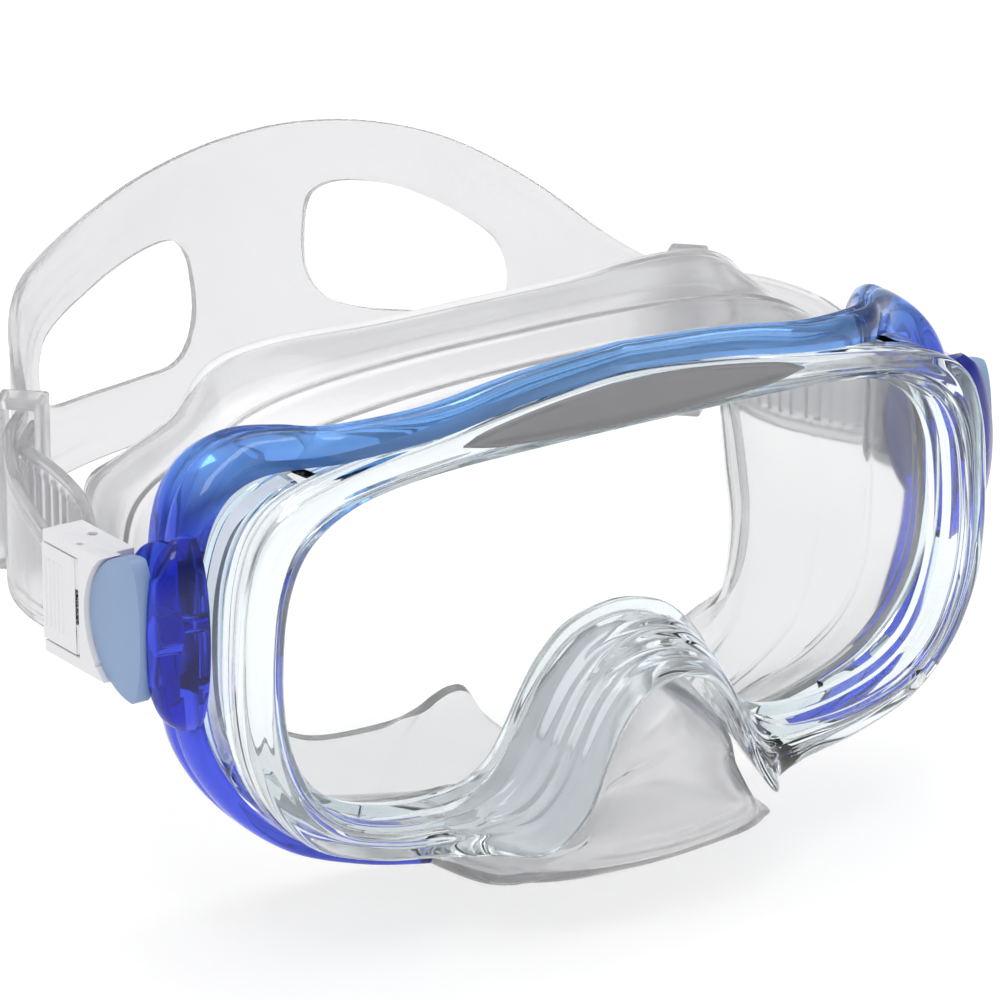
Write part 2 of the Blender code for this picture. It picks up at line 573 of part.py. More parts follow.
# --- clamp ring that locks the skirt's front edge in the lens frame --------------------
ring_rows = []
for v in spline([np.array(q, float) for q in STATIONS[:13]], 2):
    i, r = np.array((v[0], v[1])), np.array((v[6], v[7]))
    m = (r - i) / np.linalg.norm(r - i)
    a = r - (WALL_T + 0.4) * m
    b = a - 3.0 * m
    ring_rows.append([(a[0], 8.6, a[1]), (a[0], 10.6, a[1]), (b[0], 10.6, b[1]), (b[0], 8.6, b[1])])
ring_other = [[(-p[0], p[1], p[2]) for p in row] for row in ring_rows[1:]][::-1]
clamp_ring = from_grid("skirt_clamp_ring", ring_other + ring_rows, M_CLEAR, cap=True)
smooth(clamp_ring)

# --- ear cap and pivot pin ----------------------------------------------------------------
cap = prism("ear_cover", ear_outline(), "X", CAP_X[0], CAP_X[1], M_COVER)
cap = boolean(cap, cylinder("boss", "X", PIVOT, BOSS_R, EAR_X[1] + GAP, CAP_X[0] + 0.5, 20), "UNION")
cap = boolean(cap, cylinder("bore", "X", PIVOT, PIN_R + FIT, 70.0, CAP_X[0] + 1.2, 20), "DIFFERENCE")
both_sides(cap, "ear_cover", (CAP_X[0], *PIVOT))

pin = cylinder("pivot_pin", "X", PIVOT, PIN_R, EAR_X[0] + 0.2, CAP_X[0] + 0.8, 18, M_STEEL)
both_sides(pin, "pivot_pin", (EAR_X[0], *PIVOT))

# --- buckle ------------------------------------------------------------------------------
bx = (BOX_X[0], BOX_X[1])
WALL = (25.6, 30.2)                                 # Y of the wall between pivot and roller
body = box("buckle_body", bx, (20.0, BOX_REAR), (BOX_Z[1] - PLATE_T, BOX_Z[1]), M_WHITE)
body = boolean(body, box("low", bx, (20.0, BOX_REAR), (BOX_Z[0], BOX_Z[0] + PLATE_T)), "UNION")
body = boolean(body, box("front", bx, WALL, (BOX_Z[0] + 0.01, BOX_Z[1] - 0.01)), "UNION")
body = boolean(body, cylinder("hollow", "X", PIVOT, CAP_R + 0.6, TONGUE_X[1] + 0.05, 99.0, 40), "DIFFERENCE")
# in the tongue's layer the plates stop short, so that only the tongue turns under the cap
body = boolean(body, box("inner", (70.0, TONGUE_X[1] + 0.06), (10.0, WALL[0] - 0.6), (-9.0, 30.0)), "DIFFERENCE")
arm = cylinder("disc", "X", PIVOT, TONGUE_R, TONGUE_X[0], TONGUE_X[1], 24)
arm = boolean(arm, box("arm", TONGUE_X, (PIVOT[0], WALL[0] + 0.5), (PIVOT[1] - 3.9, PIVOT[1] + 3.9)), "UNION")
body = boolean(body, arm, "UNION")
body = boolean(body, cylinder("eye", "X", PIVOT, BOSS_R + FIT, 70.0, 95.0, 20), "DIFFERENCE")
body = boolean(body, cylinder("axle_hole", "Z", ROLLER, ROLLER_PIN_R + FIT, -9.0, 30.0, 16), "DIFFERENCE")
body = boolean(body, cylinder("lever_hole", "Z", LEVER, LEVER_PIN_R + FIT, -9.0, 30.0, 14), "DIFFERENCE")
both_sides(body, "buckle_body", (TONGUE_X[0], *PIVOT))

ZR = (BOX_Z[0] + PLATE_T + 0.35, BOX_Z[1] - PLATE_T - 0.35)     # clear height between the plates
roller = cylinder("strap_roller", "Z", ROLLER, ROLLER_R, ZR[0], ZR[1], 20, M_ROLLER)
roller = boolean(roller, cylinder("b", "Z", ROLLER, ROLLER_PIN_R + FIT, -9, 30, 16), "DIFFERENCE")
both_sides(roller, "strap_roller", (ROLLER[0], ROLLER[1], 9.0))
rpin = cylinder("roller_pin", "Z", ROLLER, ROLLER_PIN_R, BOX_Z[0] + 0.4, BOX_Z[1] - 0.4, 16, M_STEEL)
both_sides(rpin, "roller_pin", (ROLLER[0], *PIVOT))

lever = box("release_lever", (87.2, BOX_X[1]), (LEVER[1] - 0.2, BOX_REAR + 0.4), ZR, M_WHITE)
lever = boolean(lever, cylinder("barrel", "Z", LEVER, LEVER_BARREL_R, ZR[0], ZR[1], 18), "UNION")
lever = boolean(lever, cylinder("bay", "Z", LEVER, 1.24, 5.6, 11.8, 24), "DIFFERENCE")
lever = boolean(lever, cylinder("b", "Z", LEVER, LEVER_PIN_R + FIT, -9, 30, 14), "DIFFERENCE")
lever_l, lever_r = both_sides(lever, "release_lever", (LEVER[0], LEVER[1], 9.0))
lpin = cylinder("lever_pin", "Z", LEVER, LEVER_PIN_R, BOX_Z[0] + 0.4, BOX_Z[1] - 0.4, 12, M_STEEL)
both_sides(lpin, "lever_pin", (LEVER[0], *PIVOT))

# torsion spring round the lever's pin
cu = bpy.data.curves.new("lever_spring", "CURVE")
cu.dimensions = "3D"
cu.bevel_depth = 0.13 * MM
cu.bevel_resolution = 1
cu.use_fill_caps = True
turns, steps = 4, 8
sp = cu.splines.new("POLY")
sp.points.add(turns * steps)
for k in range(turns * steps + 1):
    a = 2 * math.pi * k / steps
    sp.points[k].co = ((LEVER[0] + 1.0 * math.cos(a)) * MM, (LEVER[1] + 1.0 * math.sin(a)) * MM,
                       (6.3 + 4.8 * k / (turns * steps)) * MM, 1)
cu.materials.append(M_STEEL)
ob = bpy.data.objects.new("lever_spring", cu)
PARTS.objects.link(ob)
spring = bake(ob)
both_sides(spring, "lever_spring", (LEVER[0], *PIVOT))

# --- head strap ------------------------------------------------------------------------------
# Plan of the band's middle on the wearer's left: X, Y, bottom Z, top Z.
RUN_Z = (0.5, 17.1)                                  # band's height where it passes the buckle
NEAR = [(85.9, 34.4, *RUN_Z), (85.9, 38.5, *RUN_Z), (85.85, 42.2, *RUN_Z), (85.6, 46.2, 0.2, 18.6),
        (84.8, 52.4, 0.0, 20.8), (82.7, 59.8, 0.0, 23.0), (78.4, 68.4, 0.0, 24.2), (73.2, 76.3, 0.0, 24.4), (67.0, 82.9, 0.0, 25.2)]
# the soft band doesn't lie quite alike on the two sides of the head
FAR_LEFT = [(60.0, 89.8, 0.0, 30.0), (50.0, 98.5, 0.0, 39.5), (38.0, 106.3, 0.0, 47.4),
            (25.0, 112.0, 0.0, 51.6), (12.0, 115.8, 0.0, 53.0)]
FAR_RIGHT = [(64.4, 88.6, 0.0, 30.0), (61.4, 94.8, 0.0, 35.6), (56.2, 100.8, 0.0, 39.4), (48.0, 106.2, 0.0, 42.0),
             (37.5, 110.8, 0.0, 45.0), (25.0, 114.3, 0.0, 48.6), (12.0, 116.5, 0.0, 51.2)]
REAR = (0.0, 117.1, 0.0, 52.6)
TAIL = [(80.0, 38.5, *RUN_Z), (77.6, 44.0, 0.5, 18.0), (75.2, 50.0, 0.5, 19.2), (73.8, 56.0, 0.5, 20.2),
        (73.4, 62.5, 0.6, 21.2), (73.7, 68.0, 0.6, 22.0), (73.4, 71.8, 0.6, 22.4), (72.1, 73.95, 0.7, 22.5),
        (70.0, 76.2, 0.7, 22.6), (66.65, 79.7, 0.8, 22.8), (62.9, 83.6, 0.9, 22.8)]


def strap_path():
    """Stations from the left tail's end, round the roller and the head, to the right tail's end."""
    r = STRAP_T / 2 + ROLLER_R + 0.25
    inner_x = ROLLER[0] - r
    tail = spline([(inner_x, ROLLER[1], *RUN_Z)] + TAIL, 2)
    wrap = []
    for k in range(1, 8):
        a = math.radians(-180 * k / 8)
        wrap.append(np.array((ROLLER[0] + r * math.cos(a), ROLLER[1] + r * math.sin(a), *RUN_Z)))
    half = NEAR + FAR_LEFT + [REAR] + [(-x, y, a, b) for x, y, a, b in (NEAR + FAR_RIGHT)[::-1]]
    return tail, wrap, spline(half, 3), np.array((-1, 1, 1, 1))


tail, wrap, main, flip = strap_path()
wrap_in_out = sorted(wrap, key=lambda q: q[0])            # from the inner run to the outer run
left_part = tail[::-1] + wrap_in_out
path = left_part + main + [q * flip for q in left_part[::-1]]

# rounded free ends: the last stretch loses height at the tip
rows = []
n = len(path)
for k, q in enumerate(path):
    a, b = path[max(0, k - 1)], path[min(n - 1, k + 1)]
    t = (b - a)[:2]
    t = t / np.linalg.norm(t)
    nrm = np.array((-t[1], t[0])) * STRAP_T / 2
    z0, z1 = q[2], q[3]
    e = min(k, n - 1 - k)
    if e < 3:
        f = (0.62, 0.88, 0.98)[e]
        mid, h = (z0 + z1) / 2, (z1 - z0) / 2 * f
        z0, z1 = mid - h, mid + h
    rows.append([(q[0] + nrm[0], q[1] + nrm[1], z0), (q[0] + nrm[0], q[1] + nrm[1], z1),
                 (q[0] - nrm[0], q[1] - nrm[1], z1), (q[0] - nrm[0], q[1] - nrm[1], z0)])
head_strap = from_grid("head_strap", rows, M_SILICONE, cap=True)
WINDOW_LEFT = [(12.0, 26.0), (11.9, 35.0), (13.4, 39.8), (18.5, 41.4), (27.0, 40.0), (33.5, 37.0), (39.0, 33.6),
               (44.5, 28.7), (46.7, 22.0), (45.5, 16.4), (40.0, 14.6), (30.0, 15.6), (22.0, 17.0), (15.5, 20.0)]
WINDOW_RIGHT = [(11.2, 20.0), (11.8, 29.5), (14.0, 34.4), (17.5, 36.2), (24.0, 35.6), (31.0, 33.8), (38.0, 31.4),
                (45.0, 29.0), (50.0, 26.0), (51.2, 20.0), (49.5, 15.3), (46.0, 13.2), (38.0, 12.4), (24.0, 12.0),
                (15.0, 13.0)]
for s, win in ((1, WINDOW_LEFT), (-1, WINDOW_RIGHT)):
    outline = [(s * p[0], p[1]) for p in spline(win, 2, closed=True)]
    head_strap = boolean(head_strap, prism("window", outline, "Y", 88.0, 128.0), "DIFFERENCE")
smooth(head_strap)
set_origin(head_strap, 0.0, *PIVOT)

# --- strap keepers ---------------------------------------------------------------------------
KC = np.array((69.75, 78.55))                       # centre, X, Y
KT = np.array((-0.685, 0.729))
KT = KT / np.linalg.norm(KT)
outer = box("strap_keeper", (-KEEPER_L / 2, KEEPER_L / 2), (-4.2, 4.2), (-2.3, 28.0), M_SILICONE, bevel=1.0)
inner = box("slot", (-9, 9), (-2.75, 2.75), (-0.7, 26.4))
keeper = boolean(outer, inner, "DIFFERENCE")
keeper.matrix_world = Matrix.Translation((KC[0] * MM, KC[1] * MM, 0)) @ Matrix.Rotation(math.atan2(KT[1], KT[0]), 4, "Z")
keeper = bake(keeper)
both_sides(keeper, "strap_keeper", (KC[0], KC[1], 12.3))
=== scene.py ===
import math

import bmesh
import bpy
import numpy as np
from mathutils import Matrix, Vector


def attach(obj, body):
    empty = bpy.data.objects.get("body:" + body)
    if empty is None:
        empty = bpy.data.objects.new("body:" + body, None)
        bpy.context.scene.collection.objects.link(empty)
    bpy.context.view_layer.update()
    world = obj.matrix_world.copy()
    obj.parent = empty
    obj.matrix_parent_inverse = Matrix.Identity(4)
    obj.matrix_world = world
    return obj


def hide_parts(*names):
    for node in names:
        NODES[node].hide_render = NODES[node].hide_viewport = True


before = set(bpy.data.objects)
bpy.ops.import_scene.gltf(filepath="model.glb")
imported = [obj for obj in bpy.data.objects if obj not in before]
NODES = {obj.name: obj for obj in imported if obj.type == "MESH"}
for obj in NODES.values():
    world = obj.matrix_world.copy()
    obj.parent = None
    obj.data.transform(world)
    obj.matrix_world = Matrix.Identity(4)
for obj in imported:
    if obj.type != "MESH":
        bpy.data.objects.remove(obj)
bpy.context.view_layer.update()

MM = 0.001
GAP = 0.35                     # air left between neighbouring pieces
FIT = 0.10                     # running clearance round a pin

# --- driving dimensions (mm) -------------------------------------------------
LENS_T = 3.0                   # tempered front glass
SIDE_LENS_T = 2.0
FRAME_FRONT = -1.5             # front face of the hard lens frame
LEDGE_Y = 3.4                  # front of the ledge that the glass rests on
FLANGE_Y = 5.0
FRAME_REAR = 17.0
WALL_T = 2.5
WINDOW_Y = (6.0, 13.4)         # side window, front and rear edge
SKIRT_T = 1.7
INSERT_T = 0.9
INSERT_TIP = 34.7
PIVOT = (15.7, 9.0)            # Y, Z of the buckle's swivel axis (along X)
EAR_X = (77.3, 80.3)           # ear plate on the outer frame
CAP_R = 12.3                   # radius of the cap's rear edge
CAP_FRONT = 2.9                # how far the cap reaches in front of the pivot
CAP_X = (84.9, 87.8)
BOSS_R = 2.6
PIN_R = 1.5
TONGUE_R = 4.3
TONGUE_X = (81.0, 84.4)
BOX_X = (81.0, 88.6)
BOX_Z = (-1.8, 19.4)
BOX_REAR = 41.0
PLATE_T = 1.9
ROLLER = (83.05, 34.4)         # X, Y of the strap roller (along Z)
ROLLER_R = 1.7
ROLLER_PIN_R = 0.8
LEVER = (87.3, 31.5)           # X, Y of the release lever's pin (along Z)
LEVER_PIN_R = 0.5
LEVER_BARREL_R = 1.1
STRAP_T = 1.8
KEEPER_L = 7.0

# --- curves and outlines ---------------------------------------------------------
def spline(points, per=4, closed=False):
    """Catmull-Rom curve through the points, `per` steps between neighbours."""
    p = [np.array(q, float) for q in points]
    n = len(p)
    out = []
    last = n if closed else n - 1
    for i in range(last):
        if closed:
            a, b, c, d = p[(i - 1) % n], p[i], p[(i + 1) % n], p[(i + 2) % n]
        else:
            b, c = p[i], p[i + 1]
            a = p[i - 1] if i > 0 else 2 * b - c
            d = p[i + 2] if i + 2 < n else 2 * c - b
        for k in range(per):
            t = k / per
            out.append(0.5 * (2 * b + (c - a) * t + (2 * a - 5 * b + 4 * c - d) * t * t
                              + (3 * b - a - 3 * c + d) * t ** 3))
    if not closed:
        out.append(p[-1])
    return out


def spline_at(points, t):
    """One point of the open curve at parameter t (0 .. len-1)."""
    n = len(points)
    i = min(int(t), n - 2)
    f = t - i
    p = [np.array(q, float) for q in points]
    b, c = p[i], p[i + 1]
    a = p[i - 1] if i > 0 else 2 * b - c
    d = p[i + 2] if i + 2 < n else 2 * c - b
    return 0.5 * (2 * b + (c - a) * f + (2 * a - 5 * b + 4 * c - d) * f * f
                  + (3 * b - a - 3 * c + d) * f ** 3)


def mirrored_half(values, per):
    """Stations from top centre to bottom centre, carried round the other side.

    Each value's first number is an X, and it is zero at both ends.  The curve
    is smooth across the middle because the neighbours are mirrored too."""
    sign = np.ones(len(values[0]))
    for i in X_COLUMNS[len(values[0])]:
        sign[i] = -1.0
    right = [np.array(v, float) * sign for v in values[1:-1]][::-1]
    loop = [np.array(v, float) for v in values] + right
    return spline(loop, per, closed=True)


X_COLUMNS = {2: (0,), 3: (0,), 9: (0, 3, 6)}


# --- mesh helpers ------------------------------------------------------------------
def new_object(name, me, mat=None):
    ob = bpy.data.objects.new(name, me)
    PARTS.objects.link(ob)
    if mat is not None:
        ob.data.materials.clear()
        ob.data.materials.append(mat)
    return ob


def from_grid(name, rows, mat, close_u=False, close_v=True, cap=False):
    """Loft: rows of points joined with quads.  close_v joins each row's ends."""
    bm = bmesh.new()
    vs = [[bm.verts.new(tuple(float(c) * MM for c in p)) for p in row] for row in rows]
    nu, nv = len(vs), len(vs[0])
    for i in range(nu if close_u else nu - 1):
        for j in range(nv if close_v else nv - 1):
            a, b = vs[i], vs[(i + 1) % nu]
            bm.faces.new((a[j], a[(j + 1) % nv], b[(j + 1) % nv], b[j]))
    if cap:
        bm.faces.new(vs[0][::-1])
        bm.faces.new(vs[-1])
    bmesh.ops.recalc_face_normals(bm, faces=bm.faces)
    me = bpy.data.meshes.new(name)
    bm.to_mesh(me)
    bm.free()
    return new_object(name, me, mat)


def evaluated(ob):
    bpy.context.view_layer.update()
    dg = bpy.context.evaluated_depsgraph_get()
    return bpy.data.meshes.new_from_object(ob.evaluated_get(dg))


def bake(ob):
    """Replace an object by its evaluated mesh, its placing taken into the mesh."""
    me = evaluated(ob)
    me.transform(ob.matrix_world)
    bm = bmesh.new()
    bm.from_mesh(me)
    bmesh.ops.remove_doubles(bm, verts=bm.verts, dist=1e-6)
    slits = [e for e in bm.edges if len(e.link_faces) == 1]
    if slits:                                        # close a sliver left by a cut
        bmesh.ops.holes_fill(bm, edges=slits, sides=4)
    bmesh.ops.recalc_face_normals(bm, faces=bm.faces)
    bm.to_mesh(me)
    bm.free()
    name, mats = ob.name, [m for m in ob.data.materials]
    bpy.data.objects.remove(ob, do_unlink=True)
    me.name = name
    out = new_object(name, me)
    out.data.materials.clear()
    for m in mats:
        out.data.materials.append(m)
    return out


def prism(name, outline, axis, lo, hi, mat=None):
    """A flat outline (2D curve, filled) given thickness along an axis."""
    cu = bpy.data.curves.new(name, "CURVE")
    cu.dimensions = "2D"
    cu.fill_mode = "BOTH"
    cu.extrude = (hi - lo) / 2 * MM
    sp = cu.splines.new("POLY")
    sp.points.add(len(outline) - 1)
    for q, p in zip(sp.points, outline):
        q.co = (p[0] * MM, p[1] * MM, 0, 1)
    sp.use_cyclic_u = True
    ob = bpy.data.objects.new(name, cu)
    PARTS.objects.link(ob)
    if mat is not None:
        cu.materials.append(mat)
    mid = (lo + hi) / 2 * MM
    if axis == "X":
        rot = Matrix(((0, 0, 1, mid), (1, 0, 0, 0), (0, 1, 0, 0), (0, 0, 0, 1)))
    elif axis == "Y":
        rot = Matrix(((1, 0, 0, 0), (0, 0, -1, mid), (0, 1, 0, 0), (0, 0, 0, 1)))
    else:
        rot = Matrix.Translation((0, 0, mid))
    ob.matrix_world = rot
    return bake(ob)


def cylinder(name, axis, centre, r, lo, hi, seg=32, mat=None):
    """Round bar along an axis; centre holds the other two coordinates in order."""
    bm = bmesh.new()
    bmesh.ops.create_cone(bm, cap_ends=True, segments=seg, radius1=r * MM, radius2=r * MM,
                          depth=(hi - lo) * MM)
    mid = (lo + hi) / 2 * MM
    a, b = centre[0] * MM, centre[1] * MM
    if axis == "X":
        m = Matrix.Translation((mid, a, b)) @ Matrix.Rotation(math.pi / 2, 4, "Y")
    elif axis == "Y":
        m = Matrix.Translation((a, mid, b)) @ Matrix.Rotation(math.pi / 2, 4, "X")
    else:
        m = Matrix.Translation((a, b, mid))
    bm.transform(m)
    me = bpy.data.meshes.new(name)
    bm.to_mesh(me)
    bm.free()
    return new_object(name, me, mat)


def box(name, x, y, z, mat=None, bevel=0.0):
    bm = bmesh.new()
    bmesh.ops.create_cube(bm, size=1.0)
    for v in bm.verts:
        v.co = Vector(((x[0] + x[1]) / 2 + v.co.x * (x[1] - x[0]),
                       (y[0] + y[1]) / 2 + v.co.y * (y[1] - y[0]),
                       (z[0] + z[1]) / 2 + v.co.z * (z[1] - z[0]))) * MM
    me = bpy.data.meshes.new(name)
    bm.to_mesh(me)
    bm.free()
    ob = new_object(name, me, mat)
    if bevel:
        mod = ob.modifiers.new("edges", "BEVEL")
        mod.width = bevel * MM
        mod.segments = 2
        ob = bake(ob)
    return ob


def boolean(ob, other, operation):
    """Cut or join, keeping the first object's name; the second one is used up."""
    mod = ob.modifiers.new("b", "BOOLEAN")
    mod.operation = operation
    mod.solver = "EXACT"
    mod.object = other
    out = bake(ob)
    bpy.data.objects.remove(other, do_unlink=True)
    return out


def smooth(ob, angle=35):
    ob.data.shade_smooth()
    ob.data.set_sharp_from_angle(angle=math.radians(angle))
    return ob


def set_origin(ob, x, y, z):
    """Move the object's origin to a point without moving its surface."""
    p = Vector((x, y, z)) * MM
    ob.data.transform(Matrix.Translation(-p) @ ob.matrix_world)
    ob.matrix_world = Matrix.Translation(p)
    return ob


# --- materials --------------------------------------------------------------------
def nodes_of(m):
    m.use_nodes = True
    nt = m.node_tree
    return nt, nt.nodes["Principled BSDF"]


def finish_material(name, rgb, rough, transmission=0.0, ior=1.46, vary=0.04, scale=60.0, bump=0.06,
                    bump_scale=900.0, metallic=0.0, coat=0.0, alpha=1.0, second=None, ramp=None, sheen=0.0,
                    specular=0.5):
    """Principled material with procedural colour variation, roughness variation and a fine bump.

    ramp = (axis, lo, hi, colours) grades the colour along an object axis (mm)."""
    m = bpy.data.materials.new(name)
    nt, b = nodes_of(m)
    new, link = nt.nodes.new, nt.links.new
    b.inputs["Metallic"].default_value = metallic
    b.inputs["Transmission Weight"].default_value = transmission
    b.inputs["IOR"].default_value = ior
    b.inputs["Coat Weight"].default_value = coat
    b.inputs["Coat Roughness"].default_value = 0.08
    b.inputs["Alpha"].default_value = alpha
    b.inputs["Specular IOR Level"].default_value = specular
    tc = new("ShaderNodeTexCoord")
    noise = new("ShaderNodeTexNoise")
    noise.inputs["Scale"].default_value = scale
    noise.inputs["Detail"].default_value = 4.0
    link(tc.outputs["Object"], noise.inputs["Vector"])
    mix = new("ShaderNodeMix")
    mix.data_type = "RGBA"
    base = tuple(rgb)
    darker = tuple(c * (1 - vary) for c in base) if second is None else tuple(second)
    mix.inputs[6].default_value = (*base, 1.0)
    mix.inputs[7].default_value = (*darker, 1.0)
    link(noise.outputs["Fac"], mix.inputs[0])
    colour = mix.outputs[2]
    if ramp is not None:
        axis, lo, hi, colours = ramp
        sep = new("ShaderNodeSeparateXYZ")
        link(tc.outputs["Object"], sep.inputs[0])
        src = sep.outputs["XYZ".index(axis[-1])]
        if axis[0] == "|":
            ab = new("ShaderNodeMath")
            ab.operation = "ABSOLUTE"
            link(src, ab.inputs[0])
            src = ab.outputs[0]
        rng = new("ShaderNodeMapRange")
        rng.inputs["From Min"].default_value = lo * MM
        rng.inputs["From Max"].default_value = hi * MM
        link(src, rng.inputs["Value"])
        cr = new("ShaderNodeValToRGB")
        els = cr.color_ramp.elements
        while len(els) < len(colours):
            els.new(0.5)
        for e, (pos, c) in zip(els, colours):
            e.position = pos
            e.color = (*c, 1.0)
        link(rng.outputs["Result"], cr.inputs["Fac"])
        mul = new("ShaderNodeMix")
        mul.data_type = "RGBA"
        mul.blend_type = "MULTIPLY"
        mul.inputs[0].default_value = 1.0
        link(cr.outputs["Color"], mul.inputs[6])
        link(colour, mul.inputs[7])
        colour = mul.outputs[2]
    link(colour, b.inputs["Base Color"])
    rr = new("ShaderNodeMapRange")
    rr.inputs["To Min"].default_value = max(0.0, rough * 0.8)
    rr.inputs["To Max"].default_value = min(1.0, rough * 1.25)
    link(noise.outputs["Fac"], rr.inputs["Value"])
    link(rr.outputs["Result"], b.inputs["Roughness"])
    if bump:
        fine = new("ShaderNodeTexNoise")
        fine.inputs["Scale"].default_value = bump_scale
        fine.inputs["Detail"].default_value = 3.0
        link(tc.outputs["Object"], fine.inputs["Vector"])
        bp = new("ShaderNodeBump")
        bp.inputs["Strength"].default_value = bump
        bp.inputs["Distance"].default_value = 0.0002
        link(fine.outputs["Fac"], bp.inputs["Height"])
        link(bp.outputs["Normal"], b.inputs["Normal"])
    m.diffuse_color = (*base, 1.0)
    return m


M_CLEAR = finish_material("clear_frame_gloss", (0.90, 0.955, 0.975), 0.035, 1.0, 1.47, vary=0.05, scale=45.0, bump=0.03,
                          bump_scale=220.0)
M_GLASS = finish_material("lens_glass", (0.985, 0.995, 0.99), 0.01, 1.0, 1.02, vary=0.01, scale=30.0, bump=0.0)
M_SIDEGLASS = finish_material("side_lens_glass", (0.86, 0.93, 0.98), 0.02, 1.0, 1.3, vary=0.03, scale=40.0, bump=0.02,
                              bump_scale=200.0)
# The Z ramp paints light and shade into the blue colour: painted light makes the top of the rail lighter, and painted
# shade darkens the band round mid height.
M_BLUE_PAINTED_LIGHT = finish_material("blue_translucent_gloss_painted_light", (1.0, 1.0, 1.0), 0.06, 0.93, 1.45, vary=0.12, scale=70.0, bump=0.05,
                         bump_scale=260.0,
                         ramp=("Z", -30.0, 46.0, ((0.0, (0.07, 0.12, 0.90)), (0.45, (0.035, 0.06, 0.80)),
                                                   (0.72, (0.05, 0.12, 0.88)), (0.86, (0.17, 0.42, 0.97)),
                                                   (1.0, (0.30, 0.58, 0.98)))))
M_COVER = finish_material("pale_blue_cover_matte", (0.31, 0.45, 0.70), 0.38, 0.15, 1.46, vary=0.10, scale=55.0, bump=0.10,
                          bump_scale=1200.0)
M_GREY = finish_material("grey_satin_insert", (0.24, 0.24, 0.25), 0.34, vary=0.16, scale=90.0, bump=0.12,
                         bump_scale=1600.0, coat=0.15, metallic=0.25)
M_SKIRT = finish_material("silicone_skirt", (0.955, 0.955, 0.965), 0.17, 0.88, 1.36, vary=0.05, scale=50.0, bump=0.10,
                          bump_scale=300.0)
M_STRAP = finish_material("silicone_strap", (0.91, 0.91, 0.925), 0.24, 0.82, 1.36, vary=0.05, scale=50.0, bump=0.015,
                          bump_scale=300.0)
M_WHITE = finish_material("white_buckle_satin", (0.84, 0.84, 0.86), 0.33, 0.0, 1.46, vary=0.03, scale=80.0, bump=0.08,
                          bump_scale=1500.0, coat=0.1)
M_ROLLER = finish_material("grey_roller_satin", (0.60, 0.61, 0.64), 0.40, vary=0.08, scale=90.0, bump=0.1,
                           bump_scale=1500.0)
M_STEEL = finish_material("drawn_stainless_steel", (0.62, 0.62, 0.64), 0.24, vary=0.10, scale=140.0, bump=0.06,
                          bump_scale=2200.0, metallic=1.0)


# --- shaping helpers ----------------------------------------------------------------
def place(ob, nodes, body="mask", angle=40):
    """Smooth-shade a finished piece, hide the CAD nodes it stands for, and let it ride on its body."""
    if isinstance(nodes, str):
        nodes = [nodes]
    smooth(ob, angle)
    if nodes:
        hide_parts(*nodes)
    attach(ob, body)
    return ob


def rounded(points, radii, seg=3):
    """Closed 3-D section with each corner turned into a small arc; the number of points never changes."""
    out = []
    n = len(points)
    for k in range(n):
        p, a, b = (np.array(points[j], float) for j in (k, k - 1, (k + 1) % n))
        la, lb = np.linalg.norm(a - p), np.linalg.norm(b - p)
        s = p + (a - p) / la * min(radii[k], 0.45 * la)
        e = p + (b - p) / lb * min(radii[k], 0.45 * lb)
        for q in range(seg + 1):
            t = q / seg
            out.append((1 - t) ** 2 * s + 2 * t * (1 - t) * p + t * t * e)
    return out


def bevelled(ob, width, segments=3, angle=38):
    mod = ob.modifiers.new("soft_edges", "BEVEL")
    mod.width = width * MM
    mod.segments = segments
    mod.limit_method = "ANGLE"
    mod.angle_limit = math.radians(angle)
    mod.use_clamp_overlap = True
    return bake(ob)


def twins(ob, stem):
    """The piece on the wearer's left and its mirror twin on the right, both placed in their meshes."""
    me = ob.data.copy()
    me.transform(ob.matrix_world)
    me.transform(Matrix.Scale(-1, 4, (1, 0, 0)))
    me.flip_normals()
    twin = new_object(stem + "_right", me)
    ob.name = stem + "_left"
    return (ob, "left"), (twin, "right")


PARTS = bpy.data.collections.new("looks")
bpy.context.scene.collection.children.link(PARTS)

